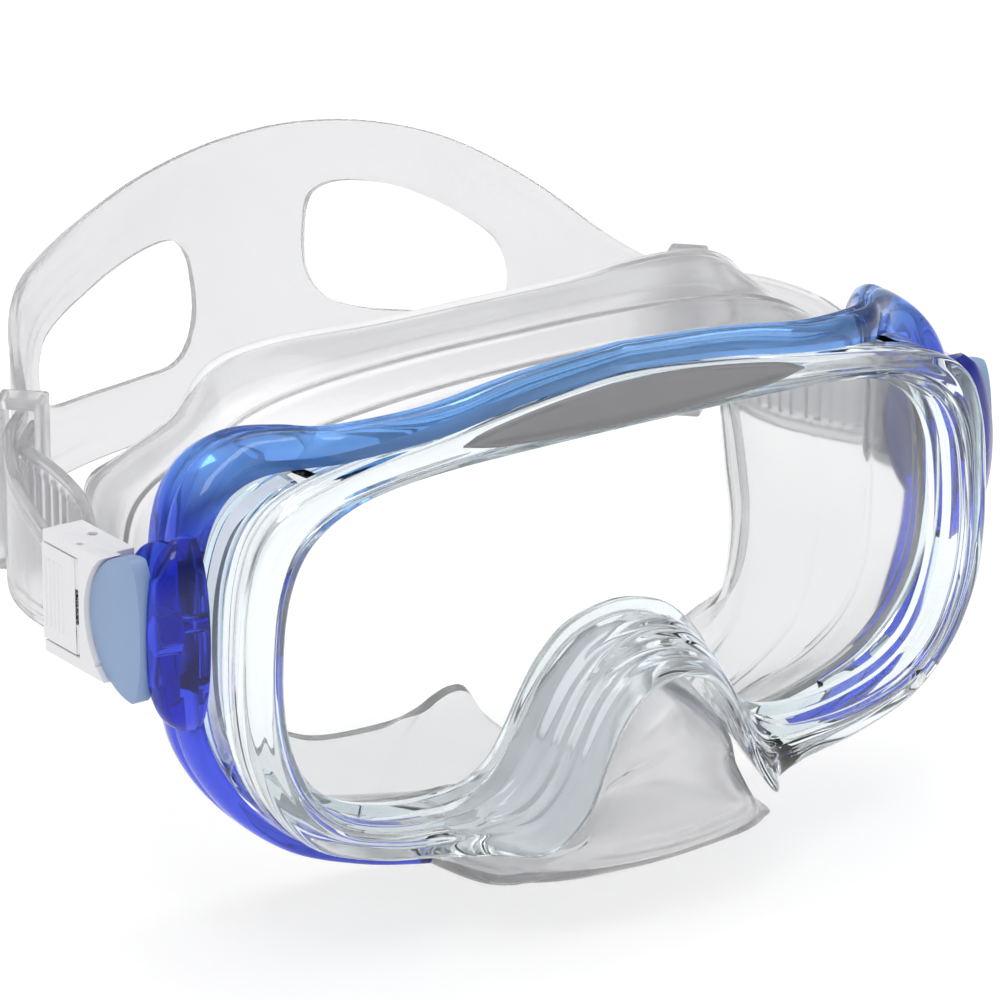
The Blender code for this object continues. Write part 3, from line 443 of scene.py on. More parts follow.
# --- hard lens frame ------------------------------------------------------------
# One station: opening edge X, Z, depth of the front outer edge; outer edge X, Z,
# its thickness there; rear edge X, Z, Y.
STATIONS = [
    (0, 31.6, -1.0, 0, 40.3, 4.0, 0, 37.8, 17.0),
    (20, 31.5, -1.0, 20, 38.7, 4.0, 20, 36.9, 17.0),
    (36, 31.2, -1.0, 38, 36.1, 4.0, 38, 34.9, 17.0),
    (48, 30.2, -1.0, 53, 34.0, 4.0, 52, 33.2, 17.0),
    (57, 28.0, -1.0, 65, 31.2, 4.0, 63.5, 31.0, 17.0),
    (64, 23.5, -1.0, 72, 26.3, 4.0, 71.3, 27.0, 17.0),
    (67.8, 16.5, -1.0, 75.2, 18.3, 4.0, 75.4, 19.0, 17.0),
    (69.3, 7.0, -1.0, 76.3, 7.8, 4.0, 76.7, 7.5, 17.0),
    (69.3, -3.0, -1.0, 76.3, -3.0, 4.0, 76.4, -4.5, 17.0),
    (67.5, -12.0, -1.0, 74.6, -12.8, 4.0, 73.8, -14.6, 17.0),
    (63.5, -20.0, -1.0, 69.8, -22.6, 4.0, 67.8, -23.6, 17.0),
    (57, -25.3, -1.0, 61.6, -30.4, 4.0, 59.4, -30.0, 17.0),
    (48, -28.3, -1.0, 50, -34.8, 4.0, 49.6, -33.8, 17.0),
    (39, -29.3, -1.0, 38.5, -37.0, 4.0, 39.5, -36.3, 16.0),
    (31, -28.6, -3.6, 30.0, -37.7, 3.6, 30.8, -35.4, 8.6),
    (25.5, -25.6, -11.6, 23.6, -35.0, 2.0, 24.8, -30.8, 5.6),
    (21.5, -20.5, -14.4, 18.2, -28.8, 1.8, 20.2, -24.0, 5.4),
    (18, -14.5, -14.6, 14.6, -21.0, 1.8, 17.0, -17.4, 5.4),
    (14, -9.0, -14.8, 11.0, -14.2, 1.8, 12.8, -11.6, 5.4),
    (8.5, -4.6, -15.1, 6.5, -9.6, 1.8, 7.7, -7.4, 5.4),
    (0, -2.8, -15.3, 0, -7.7, 1.8, 0, -5.7, 5.4),
]


def frame_section(v):
    """Closed section of the lens frame at one station."""
    ix, iz, yo, ox, oz, th, rx, rz, ry = v
    i, o, r = np.array((ix, iz)), np.array((ox, oz)), np.array((rx, rz))
    n = (o - i) / np.linalg.norm(o - i)
    m = (r - i) / np.linalg.norm(r - i)
    wall = min(WALL_T, 0.45 * np.linalg.norm(r - i))
    corner = o - WALL_T * n
    if ry < 10:                                    # no rear wall at the nose arch
        k = max(0.0, (ry - 5.4) / 4.6)
        corner = (1 - k) * (r - (wall + 0.6) * m) + k * corner
    ledge = i - 2.0 * n
    a = min(1.0, max(0.0, (-yo - 2.0) / 9.0))      # 0 on the plain rim, 1 on the nose hood
    o2, y2 = o + 1.5 * a * n, yo + (1 - a) * th + a * 0.7
    pts = [(i, FRAME_FRONT), (o, yo), (o2, y2), (r, ry), (r - wall * m, ry),
           (corner, FLANGE_Y), (ledge, FLANGE_Y), (ledge, LEDGE_Y), (i, LEDGE_Y)]
    return [(p[0], y, p[1]) for p, y in pts]



HI = 8
loop = mirrored_half(STATIONS, HI)


def frame_ring(v):
    """Finished section of the lens frame: rounded corners, a step round the glass, ridges on the nose hood."""
    ring = rounded(frame_section(v), (0.45, 2.6, 1.2, 0.9, 0.8, 1.2, 0.3, 0.2, 0.3))
    p0, p1 = ring[3], ring[4]
    n = np.array((v[3] - v[0], v[4] - v[1]))
    n = n / np.linalg.norm(n)
    run, dy = np.linalg.norm((p1 - p0)[[0, 2]]), (p1 - p0)[1]
    nn = np.array((dy * n[0], -run, dy * n[1])) / math.hypot(run, dy)
    a = min(1.0, max(0.0, (-v[2] - 2.0) / 9.0))
    mid = []
    for k in range(1, 22):
        t = k / 22
        plain = -0.55 * math.exp(-((t - 0.30) / 0.06) ** 2) + 0.35 * math.exp(-((t - 0.62) / 0.22) ** 2)
        hood = 0.42 * math.cos(2 * math.pi * 4.0 * t) * math.sin(math.pi * t)
        mid.append(p0 + (p1 - p0) * t + nn * ((1 - a) * plain + a * hood))
    return [tuple(q) for q in ring[:4] + mid + ring[4:]]


frame_ob = from_grid("clear_frame", [frame_ring(v) for v in loop], M_CLEAR, close_u=True)
for s in (1, -1):
    x = (58.0, 90.0) if s > 0 else (-90.0, -58.0)
    frame_ob = boolean(frame_ob, box("cut", x, WINDOW_Y, (-27.0, 45.0)), "DIFFERENCE")
place(frame_ob, "lens_frame")

def wall_point(v, y):
    """Point of the frame's outer wall at depth y."""
    o, r = np.array((v[3], v[4])), np.array((v[6], v[7]))
    f = min(1.0, max(0.0, (y - 3.0) / (FRAME_REAR - 3.0)))
    return o + (r - o) * f


def wall_normals(vals, y):
    pts = [wall_point(v, y) for v in vals]
    ns = []
    for k in range(len(pts)):
        a = pts[max(0, k - 1)]
        b = pts[min(len(pts) - 1, k + 1)]
        t = (b - a) / np.linalg.norm(b - a)
        ns.append(np.array((-t[1], t[0])))
    return pts, ns



HALF = spline([np.array(v, float) for v in STATIONS[:15]], 10)
rows = []
y0, y1 = WINDOW_Y[0] + GAP, WINDOW_Y[1] - GAP
pf, nf = wall_normals(HALF, y0)
pr, nr = wall_normals(HALF, y1)
for k, v in enumerate(HALF):
    if min(v[3], v[6]) <= 59.6 or min(v[4], v[7]) <= -25.9:
        continue
    na, nb = -nf[k], -nr[k]
    if na[0] < 0:
        na, nb = -na, -nb
    ring = []
    for t in (0.0, 0.5, 1.0):
        p, q, y = pf[k] + (pr[k] - pf[k]) * t, na + (nb - na) * t, y0 + (y1 - y0) * t
        ring.append((p[0] + q[0] * 0.25 * math.sin(math.pi * t), y, p[1] + q[1] * 0.25 * math.sin(math.pi * t)))
    for t in (1.0, 0.5, 0.0):
        p, q, y = pf[k] + (pr[k] - pf[k]) * t, na + (nb - na) * t, y0 + (y1 - y0) * t
        ring.append((p[0] - q[0] * SIDE_LENS_T, y, p[1] - q[1] * SIDE_LENS_T))
    rows.append(ring)
for ob, side in twins(from_grid("side_window", rows, M_SIDEGLASS, cap=True), "side_window"):
    place(ob, "side_lens_" + side)

# --- blue outer frame ----------------------------------------------------------------
# Along the half loop: station number, depth of the band's middle, width, thickness.
BAND = [(0, 3.0, 6.0, 4.0), (1, 3.0, 6.2, 4.2), (2, 3.2, 6.8, 4.5), (3, 7.4, 7.8, 5.4),
        (3.5, 13.2, 9.4, 6.4), (4, 18.2, 11.4, 6.9), (4.5, 20.0, 13.0, 6.2), (5, 20.0, 13.6, 5.4),
        (6, 18.8, 12.8, 4.0), (7, 17.6, 11.0, 3.2), (8, 17.2, 10.4, 3.0), (9, 16.8, 10.6, 3.2),
        (10, 14.6, 10.4, 3.2), (11, 11.4, 8.6, 2.8), (12, 8.0, 6.0, 2.2), (13.1, 5.2, 4.2, 1.8)]



PROFILE = ((-0.5, 0.0), (-0.5, 0.34), (-0.47, 0.60), (-0.38, 0.83), (-0.24, 0.96), (-0.12, 1.0), (-0.05, 0.97),
           (0.0, 0.88), (0.05, 0.97), (0.12, 1.0), (0.24, 0.96), (0.38, 0.83), (0.47, 0.60), (0.5, 0.34), (0.5, 0.0))


def band_ring(k, yc, w, t):
    half_stations = [np.array(v, float) for v in STATIONS[:16]]
    v = spline_at(half_stations, k)
    va, vb = spline_at(half_stations, max(0.0, k - 0.15)), spline_at(half_stations, k + 0.15)
    ring = []
    for dy, h in PROFILE:
        y = yc + dy * w
        p = wall_point(v, y)
        d = wall_point(vb, y) - wall_point(va, y)
        if k < 0.01:
            d = np.array((1.0, 0.0))
        d = d / np.linalg.norm(d)
        q = p + np.array((-d[1], d[0])) * (0.65 + h * t)
        ring.append((q[0], y, q[1]))
    return ring


# Raised cheek on the ear: a rib along Z, full in its middle and fading into the band at both ends.
CHEEK_MID, CHEEK_HALF = 8.0, 16.5


def cheek_rows(count):
    rows = []
    for k in range(count + 1):
        u = -1 + 2 * k / count
        z = CHEEK_MID + CHEEK_HALF * u
        f = math.sqrt(max(0.03, 1 - u * u))
        yr = 13.4
        y0 = yr - 1.4 - 4.8 * f
        xo = 78.9 + 7.9 * f ** 0.8
        rows.append([(77.85, y0, z), (79.2 + 0.9 * f, y0 + 0.4, z), (xo - 3.4 * f, y0 + 0.8 + 0.6 * f, z),
                     (xo - 1.0 * f, yr - 0.9 - 2.5 * f, z), (xo, yr - 0.5 - 0.9 * f, z), (xo, yr, z), (77.85, yr, z)])
    return rows


def ear_outline(grow=0.0, seg=32):
    """Side view of the ear: round about the pivot behind it, flatter in front of it."""
    pts = []
    for k in range(seg):
        a = 2 * math.pi * k / seg
        c = math.cos(a)
        pts.append((PIVOT[0] + c * ((CAP_R if c > 0 else CAP_FRONT) + grow),
                    PIVOT[1] + math.sin(a) * (CAP_R + grow)))
    return pts



half_rows = [band_ring(*b) for b in spline([np.array(b, float) for b in BAND], 8)]
other = [[(-p[0], p[1], p[2]) for p in row] for row in half_rows[1:]][::-1]
rail = from_grid("blue_outer_frame", other + half_rows, M_BLUE_PAINTED_LIGHT, cap=True)
for s in (1, -1):
    lo, hi = (EAR_X if s > 0 else (-EAR_X[1], -EAR_X[0]))
    rail = boolean(rail, prism("ear", ear_outline(1.2, 64), "X", lo, hi), "UNION")
    cheek = from_grid("cheek", [[(s * x, y, z) for x, y, z in row] for row in cheek_rows(48)], None, cap=True)
    far = (EAR_X[1] + GAP, 99.0) if s > 0 else (-99.0, -EAR_X[1] - GAP)
    cheek = boolean(cheek, prism("cap_space", ear_outline(GAP, 64), "X", *far), "DIFFERENCE")
    deep = (EAR_X[1] + GAP, TONGUE_X[1] + 0.4) if s > 0 else (-TONGUE_X[1] - 0.4, -EAR_X[1] - GAP)
    cheek = boolean(cheek, cylinder("tongue_space", "X", PIVOT, TONGUE_R + 0.4, *deep, 64), "DIFFERENCE")
    rail = boolean(rail, cheek, "UNION")
    hole = cylinder("hole", "X", PIVOT, PIN_R + FIT, *((70.0, 95.0) if s > 0 else (-95.0, -70.0)), 32)
    rail = boolean(rail, hole, "DIFFERENCE")
place(rail, "outer_frame")

# --- grey brow insert -------------------------------------------------------------------
top = spline([(-INSERT_TIP, 35.2), (-30, 36.9), (-20, 38.6), (-10, 39.7), (0, 40.1), (10, 39.7),
              (20, 38.6), (30, 36.9), (INSERT_TIP, 35.2)], 8)
low = spline([(-INSERT_TIP, 34.9), (-28, 33.7), (-18, 33.0), (-9, 32.7), (0, 32.6), (9, 32.7), (18, 33.0),
              (28, 33.7), (INSERT_TIP, 34.9)], 8)
yb = FRAME_FRONT - GAP
rows = []
for a, b in zip(top, low):
    ring = []
    wide = min(1.0, (a[1] - b[1]) / 3.0)
    for k in range(15):
        t = k / 14
        edge = min(t, 1 - t) * (a[1] - b[1])
        lift = INSERT_T * (0.35 + 0.65 * min(1.0, edge / 0.5)) * wide + 0.1 * (1 - wide)
        dish = 0.35 * max(0.0, min(1.0, (edge - 0.6) / 1.2)) * wide
        ring.append((a[0] + (b[0] - a[0]) * t, yb - lift + dish, a[1] + (b[1] - a[1]) * t))
    ring += [(b[0], yb, b[1]), (a[0], yb, a[1])]
    rows.append(ring)
place(from_grid("brow_plate", rows, M_GREY, cap=True), "brow_insert", angle=50)

# --- silicone skirt --------------------------------------------------------------------
# Each station runs from the front edge inside the lens frame, along the wall to the
# outer lip, over it, and in to the edge of the face opening.
SKIRT = [
    [(0, 12.8, 34.3), (0, 18, 34.6), (0, 22, 35.3), (0, 27, 36.4), (0, 32, 37.8), (0, 37, 39.2),
     (0, 42, 40.4), (0, 46, 41.0), (0, 47.2, 39.0), (0, 44.0, 35.6)],
    [(20, 12.8, 33.6), (20, 18, 33.9), (20, 22, 34.8), (20, 27, 36.1), (20, 32, 37.6), (20, 37, 39.0),
     (20, 42, 40.2), (20, 46.4, 40.8), (20, 47.6, 38.8), (20, 44.4, 35.4)],
    [(37.5, 12.8, 31.6), (38, 18, 32.0), (38.5, 22, 33.2), (39, 27, 34.8), (39.5, 32, 36.4), (40, 37, 38.0),
     (40.4, 42, 40.2), (40.6, 46.8, 41.4), (40.6, 48.4, 39.2), (39, 45.2, 34.6)],
    [(51, 12.8, 29.8), (51.5, 18, 30.2), (52.5, 22, 31.2), (53, 27, 32.6), (53, 32, 34.0), (53, 37, 35.4),
     (52.9, 42, 37.6), (52.6, 47.0, 39.0), (51.6, 48.8, 37.0), (49.6, 46.0, 32.6)],
    [(61.5, 12.8, 27.5), (62.3, 18, 27.9), (62.6, 22, 28.4), (62.6, 27, 29.0), (62.2, 32, 29.7),
     (61.4, 37, 30.3), (60.4, 42, 30.9), (59.4, 47.0, 31.3), (58.4, 49.4, 29.8), (55.8, 47.4, 26.6)],
    [(68.6, 12.8, 23.8), (69.8, 18, 24.2), (70.2, 24, 24.4), (69.8, 30, 24.5), (69.0, 36, 24.6),
     (67.8, 42, 24.6), (66.4, 48, 24.4), (65.0, 54.0, 23.8), (63.4, 56.6, 22.4), (59.8, 53.4, 19.6)],
    [(72.0, 12.8, 16.5), (73.2, 18, 16.8), (73.6, 25, 17.0), (73.2, 32, 17.2), (72.2, 39, 17.4),
     (70.8, 46, 17.5), (69.4, 53, 17.5), (68.0, 60.0, 17.4), (66.2, 62.8, 16.6), (61.8, 58.2, 14.4)],
    [(73.2, 12.8, 6.5), (74.2, 18, 6.5), (74.4, 26, 6.5), (73.8, 33, 6.5), (72.6, 40, 6.5),
     (71.0, 47.5, 6.5), (69.4, 55, 6.5), (67.8, 62.0, 6.5), (66.3, 63.6, 6.3), (63.5, 57.0, 5.6)],
    [(72.8, 12.8, -5.0), (73.4, 18, -5.2), (73.4, 25, -5.4), (72.6, 31, -5.6), (71.2, 38, -5.8),
     (69.6, 45, -6.0), (67.8, 52, -6.0), (66.0, 58.4, -6.0), (64.6, 59.8, -5.4), (62.6, 53.0, -4.2)],
    [(70.4, 12.8, -14.2), (70.8, 18, -14.9), (70.6, 23, -15.6), (69.6, 29, -16.2), (68.0, 35, -16.7),
     (66.2, 41, -17.2), (64.4, 47, -17.5), (62.5, 52.0, -17.8), (61.2, 53.4, -16.4), (59.8, 48.2, -13.2)],
    [(64.8, 12.8, -22.0), (65.0, 18, -22.7), (64.8, 22, -23.8), (63.6, 27, -25.2), (61.8, 32, -26.5),
     (59.8, 37, -27.7), (57.8, 42, -28.8), (56.0, 46.8, -29.8), (54.8, 48.6, -27.6), (54.6, 45.0, -21.8)],
    [(56.5, 12.8, -27.6), (56.5, 18, -28.5), (56.0, 22, -30.0), (54.6, 26, -31.6), (52.8, 31, -33.2),
     (51.0, 36, -34.8), (49.2, 41, -36.4), (47.6, 45.6, -38.0), (46.4, 47.6, -35.4), (45.6, 44.0, -25.4)],
    [(45.5, 12.8, -31.0), (45.5, 18, -31.8), (45.0, 22, -33.6), (44.2, 26, -35.6), (43.2, 30, -37.4),
     (42.2, 34, -39.0), (41.2, 39, -40.8), (40.2, 44.0, -42.8), (39.0, 46.2, -40.6), (35.4, 42.6, -29.8)],
    [(33.8, 10.6, -31.2), (33.6, 13.4, -32.4), (33.6, 18.2, -34.6), (33.6, 22, -37.6), (33.6, 27, -40.2),
     (33.6, 32, -42.4), (33.2, 38, -44.4), (32.8, 43.0, -46.4), (31.4, 44.6, -43.4), (25.6, 35.6, -27.4)],
]
# Nose pocket, from its flank to the middle: more rings make its crease and lower bulge.
NOSE = [
    [(28.0, 9.4, -30.2), (27.6, 9.6, -31.6), (27.4, 10.0, -33.4), (27.4, 10.4, -35.4), (27.3, 10.8, -37.4),
     (27.4, 11.2, -39.4), (28.4, 11.4, -41.4), (29.8, 13.8, -43.0), (30.2, 20.0, -44.2), (30.2, 30.0, -46.1),
     (29.8, 42.0, -48.8), (28.4, 42.6, -44.0), (22.0, 31.5, -24.4)],
    [(24.4, 8.6, -29.6), (23.4, 7.8, -32.2), (22.6, 6.6, -34.6), (22.2, 5.2, -36.4), (22.1, 3.6, -37.8),
     (23.4, 1.2, -39.6), (26.2, -1.6, -41.3), (28.4, -1.6, -43.2), (28.8, 5.6, -45.0), (28.4, 23.0, -46.8),
     (28.0, 41.4, -49.5), (26.6, 41.4, -44.6), (19.2, 30.0, -22.0)],
    [(21.6, 8.2, -27.4), (19.8, 4.8, -28.8), (18.4, 0.4, -30.0), (17.6, -4.8, -31.4), (17.4, -8.4, -33.0),
     (18.8, -9.4, -36.2), (21.4, -8.2, -39.6), (24.2, -5.8, -42.9), (25.0, 6.0, -45.4), (25.2, 24.0, -47.4),
     (26.4, 41.0, -50.0), (24.8, 40.8, -44.8), (16.6, 29.0, -20.6)],
    [(17.6, 6.2, -22.2), (15.4, -4.0, -23.6), (13.6, -10.6, -24.6), (13.2, -12.2, -26.2), (13.8, -11.9, -28.4),
     (15.8, -13.0, -34.0), (17.2, -11.2, -39.4), (18.4, -8.6, -42.9), (19.0, 4.0, -46.6), (19.0, 22.0, -49.0),
     (18.8, 39.4, -53.0), (17.6, 39.2, -47.0), (13.4, 28.6, -21.4)],
    [(11.4, 6.0, -13.4), (10.2, -5.0, -16.4), (8.8, -13.0, -18.4), (8.8, -15.4, -22.4), (9.2, -14.4, -26.6),
     (10.4, -15.9, -33.2), (11.0, -12.6, -39.8), (11.4, -8.8, -43.4), (11.6, 4.0, -48.0), (11.6, 22.0, -50.6),
     (10.6, 38.6, -54.4), (10.2, 38.8, -48.8), (8.0, 30.4, -28.2)],
    [(0, 6.0, -7.8), (0, -5.0, -10.8), (0, -14.2, -12.2), (0, -17.4, -18.6), (0, -15.9, -25.6),
     (0, -17.2, -33.0), (0, -13.4, -40.0), (0, -9.0, -43.8), (0, 4.0, -48.6), (0, 22.0, -51.4),
     (0, 37.8, -55.0), (0, 38.4, -50.2), (0, 32.0, -33.6)],
]


def stretch_wall(row, n):
    """A station's wall re-divided into n points; the lip's two last points stay."""
    wall, lip = [np.array(p, float) for p in row[:-2]], row[-2:]
    return [tuple(spline_at(wall, (len(wall) - 1) * k / (n - 1))) for k in range(n)] + lip


SKIRT = [stretch_wall(row, len(NOSE[0]) - 2) for row in SKIRT] + NOSE


def skirt_rows(per_station, per_ring):
    full = SKIRT + [[(-x, y, z) for x, y, z in row] for row in SKIRT[1:-1]][::-1]
    rings = len(SKIRT[0])
    cols = [spline([row[r] for row in full], per_station, closed=True) for r in range(rings)]
    n = len(cols[0])
    return [spline([cols[r][k] for r in range(rings)], per_ring) for k in range(n)]



def relief(rows, height):
    """Move each point of a wrapped grid along its own normal by height(u, v) mm."""
    g = np.array(rows, float)
    du = np.roll(g, -1, 0) - np.roll(g, 1, 0)
    dv = np.gradient(g, axis=1)
    n = np.cross(dv, du)
    n /= np.linalg.norm(n, axis=2, keepdims=True) + 1e-9
    centre = g.mean(axis=(0, 1))
    if ((g - centre) * n).sum() < 0:
        n = -n
    nu, nv = g.shape[:2]
    h = np.array([[height(i / nu, j / (nv - 1)) for j in range(nv)] for i in range(nu)])
    return (g + n * h[..., None]).tolist()


def skirt_relief(u, v):
    """Two soft lines run round the wall; they fade out over the nose pocket."""
    off = abs(u - 0.5)                                # 0 at the nose, 0.5 at the brow
    wall = min(1.0, max(0.0, (off - 0.10) / 0.06))
    h = 0.35 * math.exp(-((v - 0.30) / 0.012) ** 2) + 0.30 * math.exp(-((v - 0.52) / 0.012) ** 2)
    h += 0.35 * math.exp(-((v - 0.80) / 0.02) ** 2)
    nose = 1.0 - wall
    return h * wall + 0.45 * nose * math.exp(-((v - 0.44) / 0.03) ** 2) - 0.35 * nose * math.exp(-((v - 0.52) / 0.02) ** 2)


skin = relief(skirt_rows(8, 5), skirt_relief)
skirt_ob = from_grid("skirt_skin", skin, M_SKIRT, close_u=True, close_v=False)
mod = skirt_ob.modifiers.new("wall", "SOLIDIFY")
mod.thickness = SKIRT_T * MM
mod.offset = -1.0
mod.use_even_offset = False
skirt_ob = bake(skirt_ob)
place(skirt_ob, "skirt", angle=60)

# clamp ring
ring_rows = []
for v in spline([np.array(q, float) for q in STATIONS[:13]], 8):
    i, r = np.array((v[0], v[1])), np.array((v[6], v[7]))
    m = (r - i) / np.linalg.norm(r - i)
    a = r - (WALL_T + 0.4) * m
    b = a - 3.0 * m
    ring_rows.append([(a[0], 8.6, a[1]), (a[0], 10.6, a[1]), (b[0], 10.6, b[1]), (b[0], 8.6, b[1])])
ring_other = [[(-p[0], p[1], p[2]) for p in row] for row in ring_rows[1:]][::-1]
place(bevelled(from_grid("inner_clamp_band", ring_other + ring_rows, M_CLEAR, cap=True), 0.3, 2), "skirt_clamp_ring")

# --- ear covers --------------------------------------------------------------------------
cap = prism("cover", ear_outline(0.0, 72), "X", CAP_X[0], CAP_X[1], M_COVER)
cap = boolean(cap, cylinder("boss", "X", PIVOT, BOSS_R, EAR_X[1] + GAP, CAP_X[0] + 0.5, 40), "UNION")
cap = boolean(cap, cylinder("bore", "X", PIVOT, PIN_R + FIT, 70.0, CAP_X[0] + 1.2, 32), "DIFFERENCE")
cap = bevelled(cap, 1.1, 4, 30)
for ob, side in twins(cap, "ear_shell"):
    place(ob, "ear_cover_" + side, angle=35)

# --- buckles --------------------------------------------------------------------------------
bx = (BOX_X[0], BOX_X[1])
WALL = (25.6, 30.2)
body = box("frame", bx, (20.0, BOX_REAR), (BOX_Z[1] - PLATE_T, BOX_Z[1]), M_WHITE)
body = boolean(body, box("low", bx, (20.0, BOX_REAR), (BOX_Z[0], BOX_Z[0] + PLATE_T)), "UNION")
body = boolean(body, box("front", bx, WALL, (BOX_Z[0] + 0.01, BOX_Z[1] - 0.01)), "UNION")
body = boolean(body, cylinder("hollow", "X", PIVOT, CAP_R + 0.6, TONGUE_X[1] + 0.05, 99.0, 96), "DIFFERENCE")
body = boolean(body, box("inner", (70.0, TONGUE_X[1] + 0.06), (10.0, WALL[0] - 0.6), (-9.0, 30.0)), "DIFFERENCE")
arm = cylinder("disc", "X", PIVOT, TONGUE_R, TONGUE_X[0], TONGUE_X[1], 48)
arm = boolean(arm, box("arm", TONGUE_X, (PIVOT[0], WALL[0] + 0.5), (PIVOT[1] - 3.9, PIVOT[1] + 3.9)), "UNION")
body = boolean(body, arm, "UNION")
body = boolean(body, cylinder("eye", "X", PIVOT, BOSS_R + FIT, 70.0, 95.0, 40), "DIFFERENCE")
body = boolean(body, cylinder("axle_hole", "Z", ROLLER, ROLLER_PIN_R + FIT, -9.0, 30.0, 24), "DIFFERENCE")
body = boolean(body, cylinder("lever_hole", "Z", LEVER, LEVER_PIN_R + FIT, -9.0, 30.0, 20), "DIFFERENCE")
body = bevelled(body, 0.45, 3, 40)
for ob, side in twins(body, "buckle_shell"):
    place(ob, "buckle_body_" + side, "strap_assembly", 35)

ZR = (BOX_Z[0] + PLATE_T + 0.35, BOX_Z[1] - PLATE_T - 0.35)
lever = box("lever", (87.2, BOX_X[1]), (LEVER[1] - 0.2, BOX_REAR + 0.4), ZR, M_WHITE)
lever = boolean(lever, cylinder("barrel", "Z", LEVER, LEVER_BARREL_R, ZR[0], ZR[1], 36), "UNION")
lever = boolean(lever, cylinder("bay", "Z", LEVER, 1.24, 5.6, 11.8, 40), "DIFFERENCE")
lever = boolean(lever, cylinder("b", "Z", LEVER, LEVER_PIN_R + FIT, -9, 30, 20), "DIFFERENCE")
lever = bevelled(lever, 0.3, 3, 40)
for k in range(5):                                    # finger ridges near the lever's free end
    rib = box("rib", (BOX_X[1] - 0.3, BOX_X[1] + 0.2), (35.2 + 1.25 * k, 35.9 + 1.25 * k), (ZR[0] + 2.4, ZR[1] - 2.4), bevel=0.2)
    lever = boolean(lever, rib, "UNION")
for ob, side in twins(lever, "lever_shell"):
    place(ob, "release_lever_" + side, "lever_" + side, 35)

# --- head strap ---------------------------------------------------------------------------------
# Plan of the band's middle on the wearer's left: X, Y, bottom Z, top Z.
RUN_Z = (0.5, 17.1)                                  # band's height where it passes the buckle
NEAR = [(85.9, 34.4, *RUN_Z), (85.9, 38.5, *RUN_Z), (85.85, 42.2, *RUN_Z), (85.6, 46.2, 0.2, 18.6),
        (84.8, 52.4, 0.0, 20.8), (82.7, 59.8, 0.0, 23.0), (78.4, 68.4, 0.0, 24.2), (73.2, 76.3, 0.0, 24.4), (67.0, 82.9, 0.0, 25.2)]
# the soft band doesn't lie quite alike on the two sides of the head
FAR_LEFT = [(60.0, 89.8, 0.0, 30.0), (50.0, 98.5, 0.0, 39.5), (38.0, 106.3, 0.0, 47.4),
            (25.0, 112.0, 0.0, 51.6), (12.0, 115.8, 0.0, 53.0)]
FAR_RIGHT = [(64.4, 88.6, 0.0, 30.0), (61.4, 94.8, 0.0, 35.6), (56.2, 100.8, 0.0, 39.4), (48.0, 106.2, 0.0, 42.0),
             (37.5, 110.8, 0.0, 45.0), (25.0, 114.3, 0.0, 48.6), (12.0, 116.5, 0.0, 51.2)]
REAR = (0.0, 117.1, 0.0, 52.6)
TAIL = [(80.0, 38.5, *RUN_Z), (77.6, 44.0, 0.5, 18.0), (75.2, 50.0, 0.5, 19.2), (73.8, 56.0, 0.5, 20.2),
        (73.4, 62.5, 0.6, 21.2), (73.7, 68.0, 0.6, 22.0), (73.4, 71.8, 0.6, 22.4), (72.1, 73.95, 0.7, 22.5),
        (70.0, 76.2, 0.7, 22.6), (66.65, 79.7, 0.8, 22.8), (62.9, 83.6, 0.9, 22.8)]



WINDOW_LEFT = [(12.0, 26.0), (11.9, 35.0), (13.4, 39.8), (18.5, 41.4), (27.0, 40.0), (33.5, 37.0), (39.0, 33.6),
               (44.5, 28.7), (46.7, 22.0), (45.5, 16.4), (40.0, 14.6), (30.0, 15.6), (22.0, 17.0), (15.5, 20.0)]
WINDOW_RIGHT = [(11.2, 20.0), (11.8, 29.5), (14.0, 34.4), (17.5, 36.2), (24.0, 35.6), (31.0, 33.8), (38.0, 31.4),
                (45.0, 29.0), (50.0, 26.0), (51.2, 20.0), (49.5, 15.3), (46.0, 13.2), (38.0, 12.4), (24.0, 12.0),
                (15.0, 13.0)]

r = STRAP_T / 2 + ROLLER_R + 0.25
tail = spline([(ROLLER[0] - r, ROLLER[1], *RUN_Z)] + TAIL, 12)
wrap = []
for k in range(1, 20):
    a = math.radians(-180 * k / 20)
    wrap.append(np.array((ROLLER[0] + r * math.cos(a), ROLLER[1] + r * math.sin(a), *RUN_Z)))
wrap.sort(key=lambda q: q[0])
left_half = NEAR + FAR_LEFT + [REAR]
main = spline(left_half + [(-x, y, a, b) for x, y, a, b in (NEAR + FAR_RIGHT)[::-1]], 8)
flip = np.array((-1, 1, 1, 1))
left_part = tail[::-1] + wrap
path = left_part + main + [q * flip for q in left_part[::-1]]
n_tail = len(tail)


def outline_distance(x, z, outline):
    """Distance in mm from a point to a closed outline."""
    p = np.array((x, z))
    a = np.array(outline)
    b = np.roll(a, -1, 0)
    d = b - a
    t = np.clip(((p - a) * d).sum(1) / (d * d).sum(1), 0, 1)
    return np.sqrt(((a + d * t[:, None] - p) ** 2).sum(1)).min()


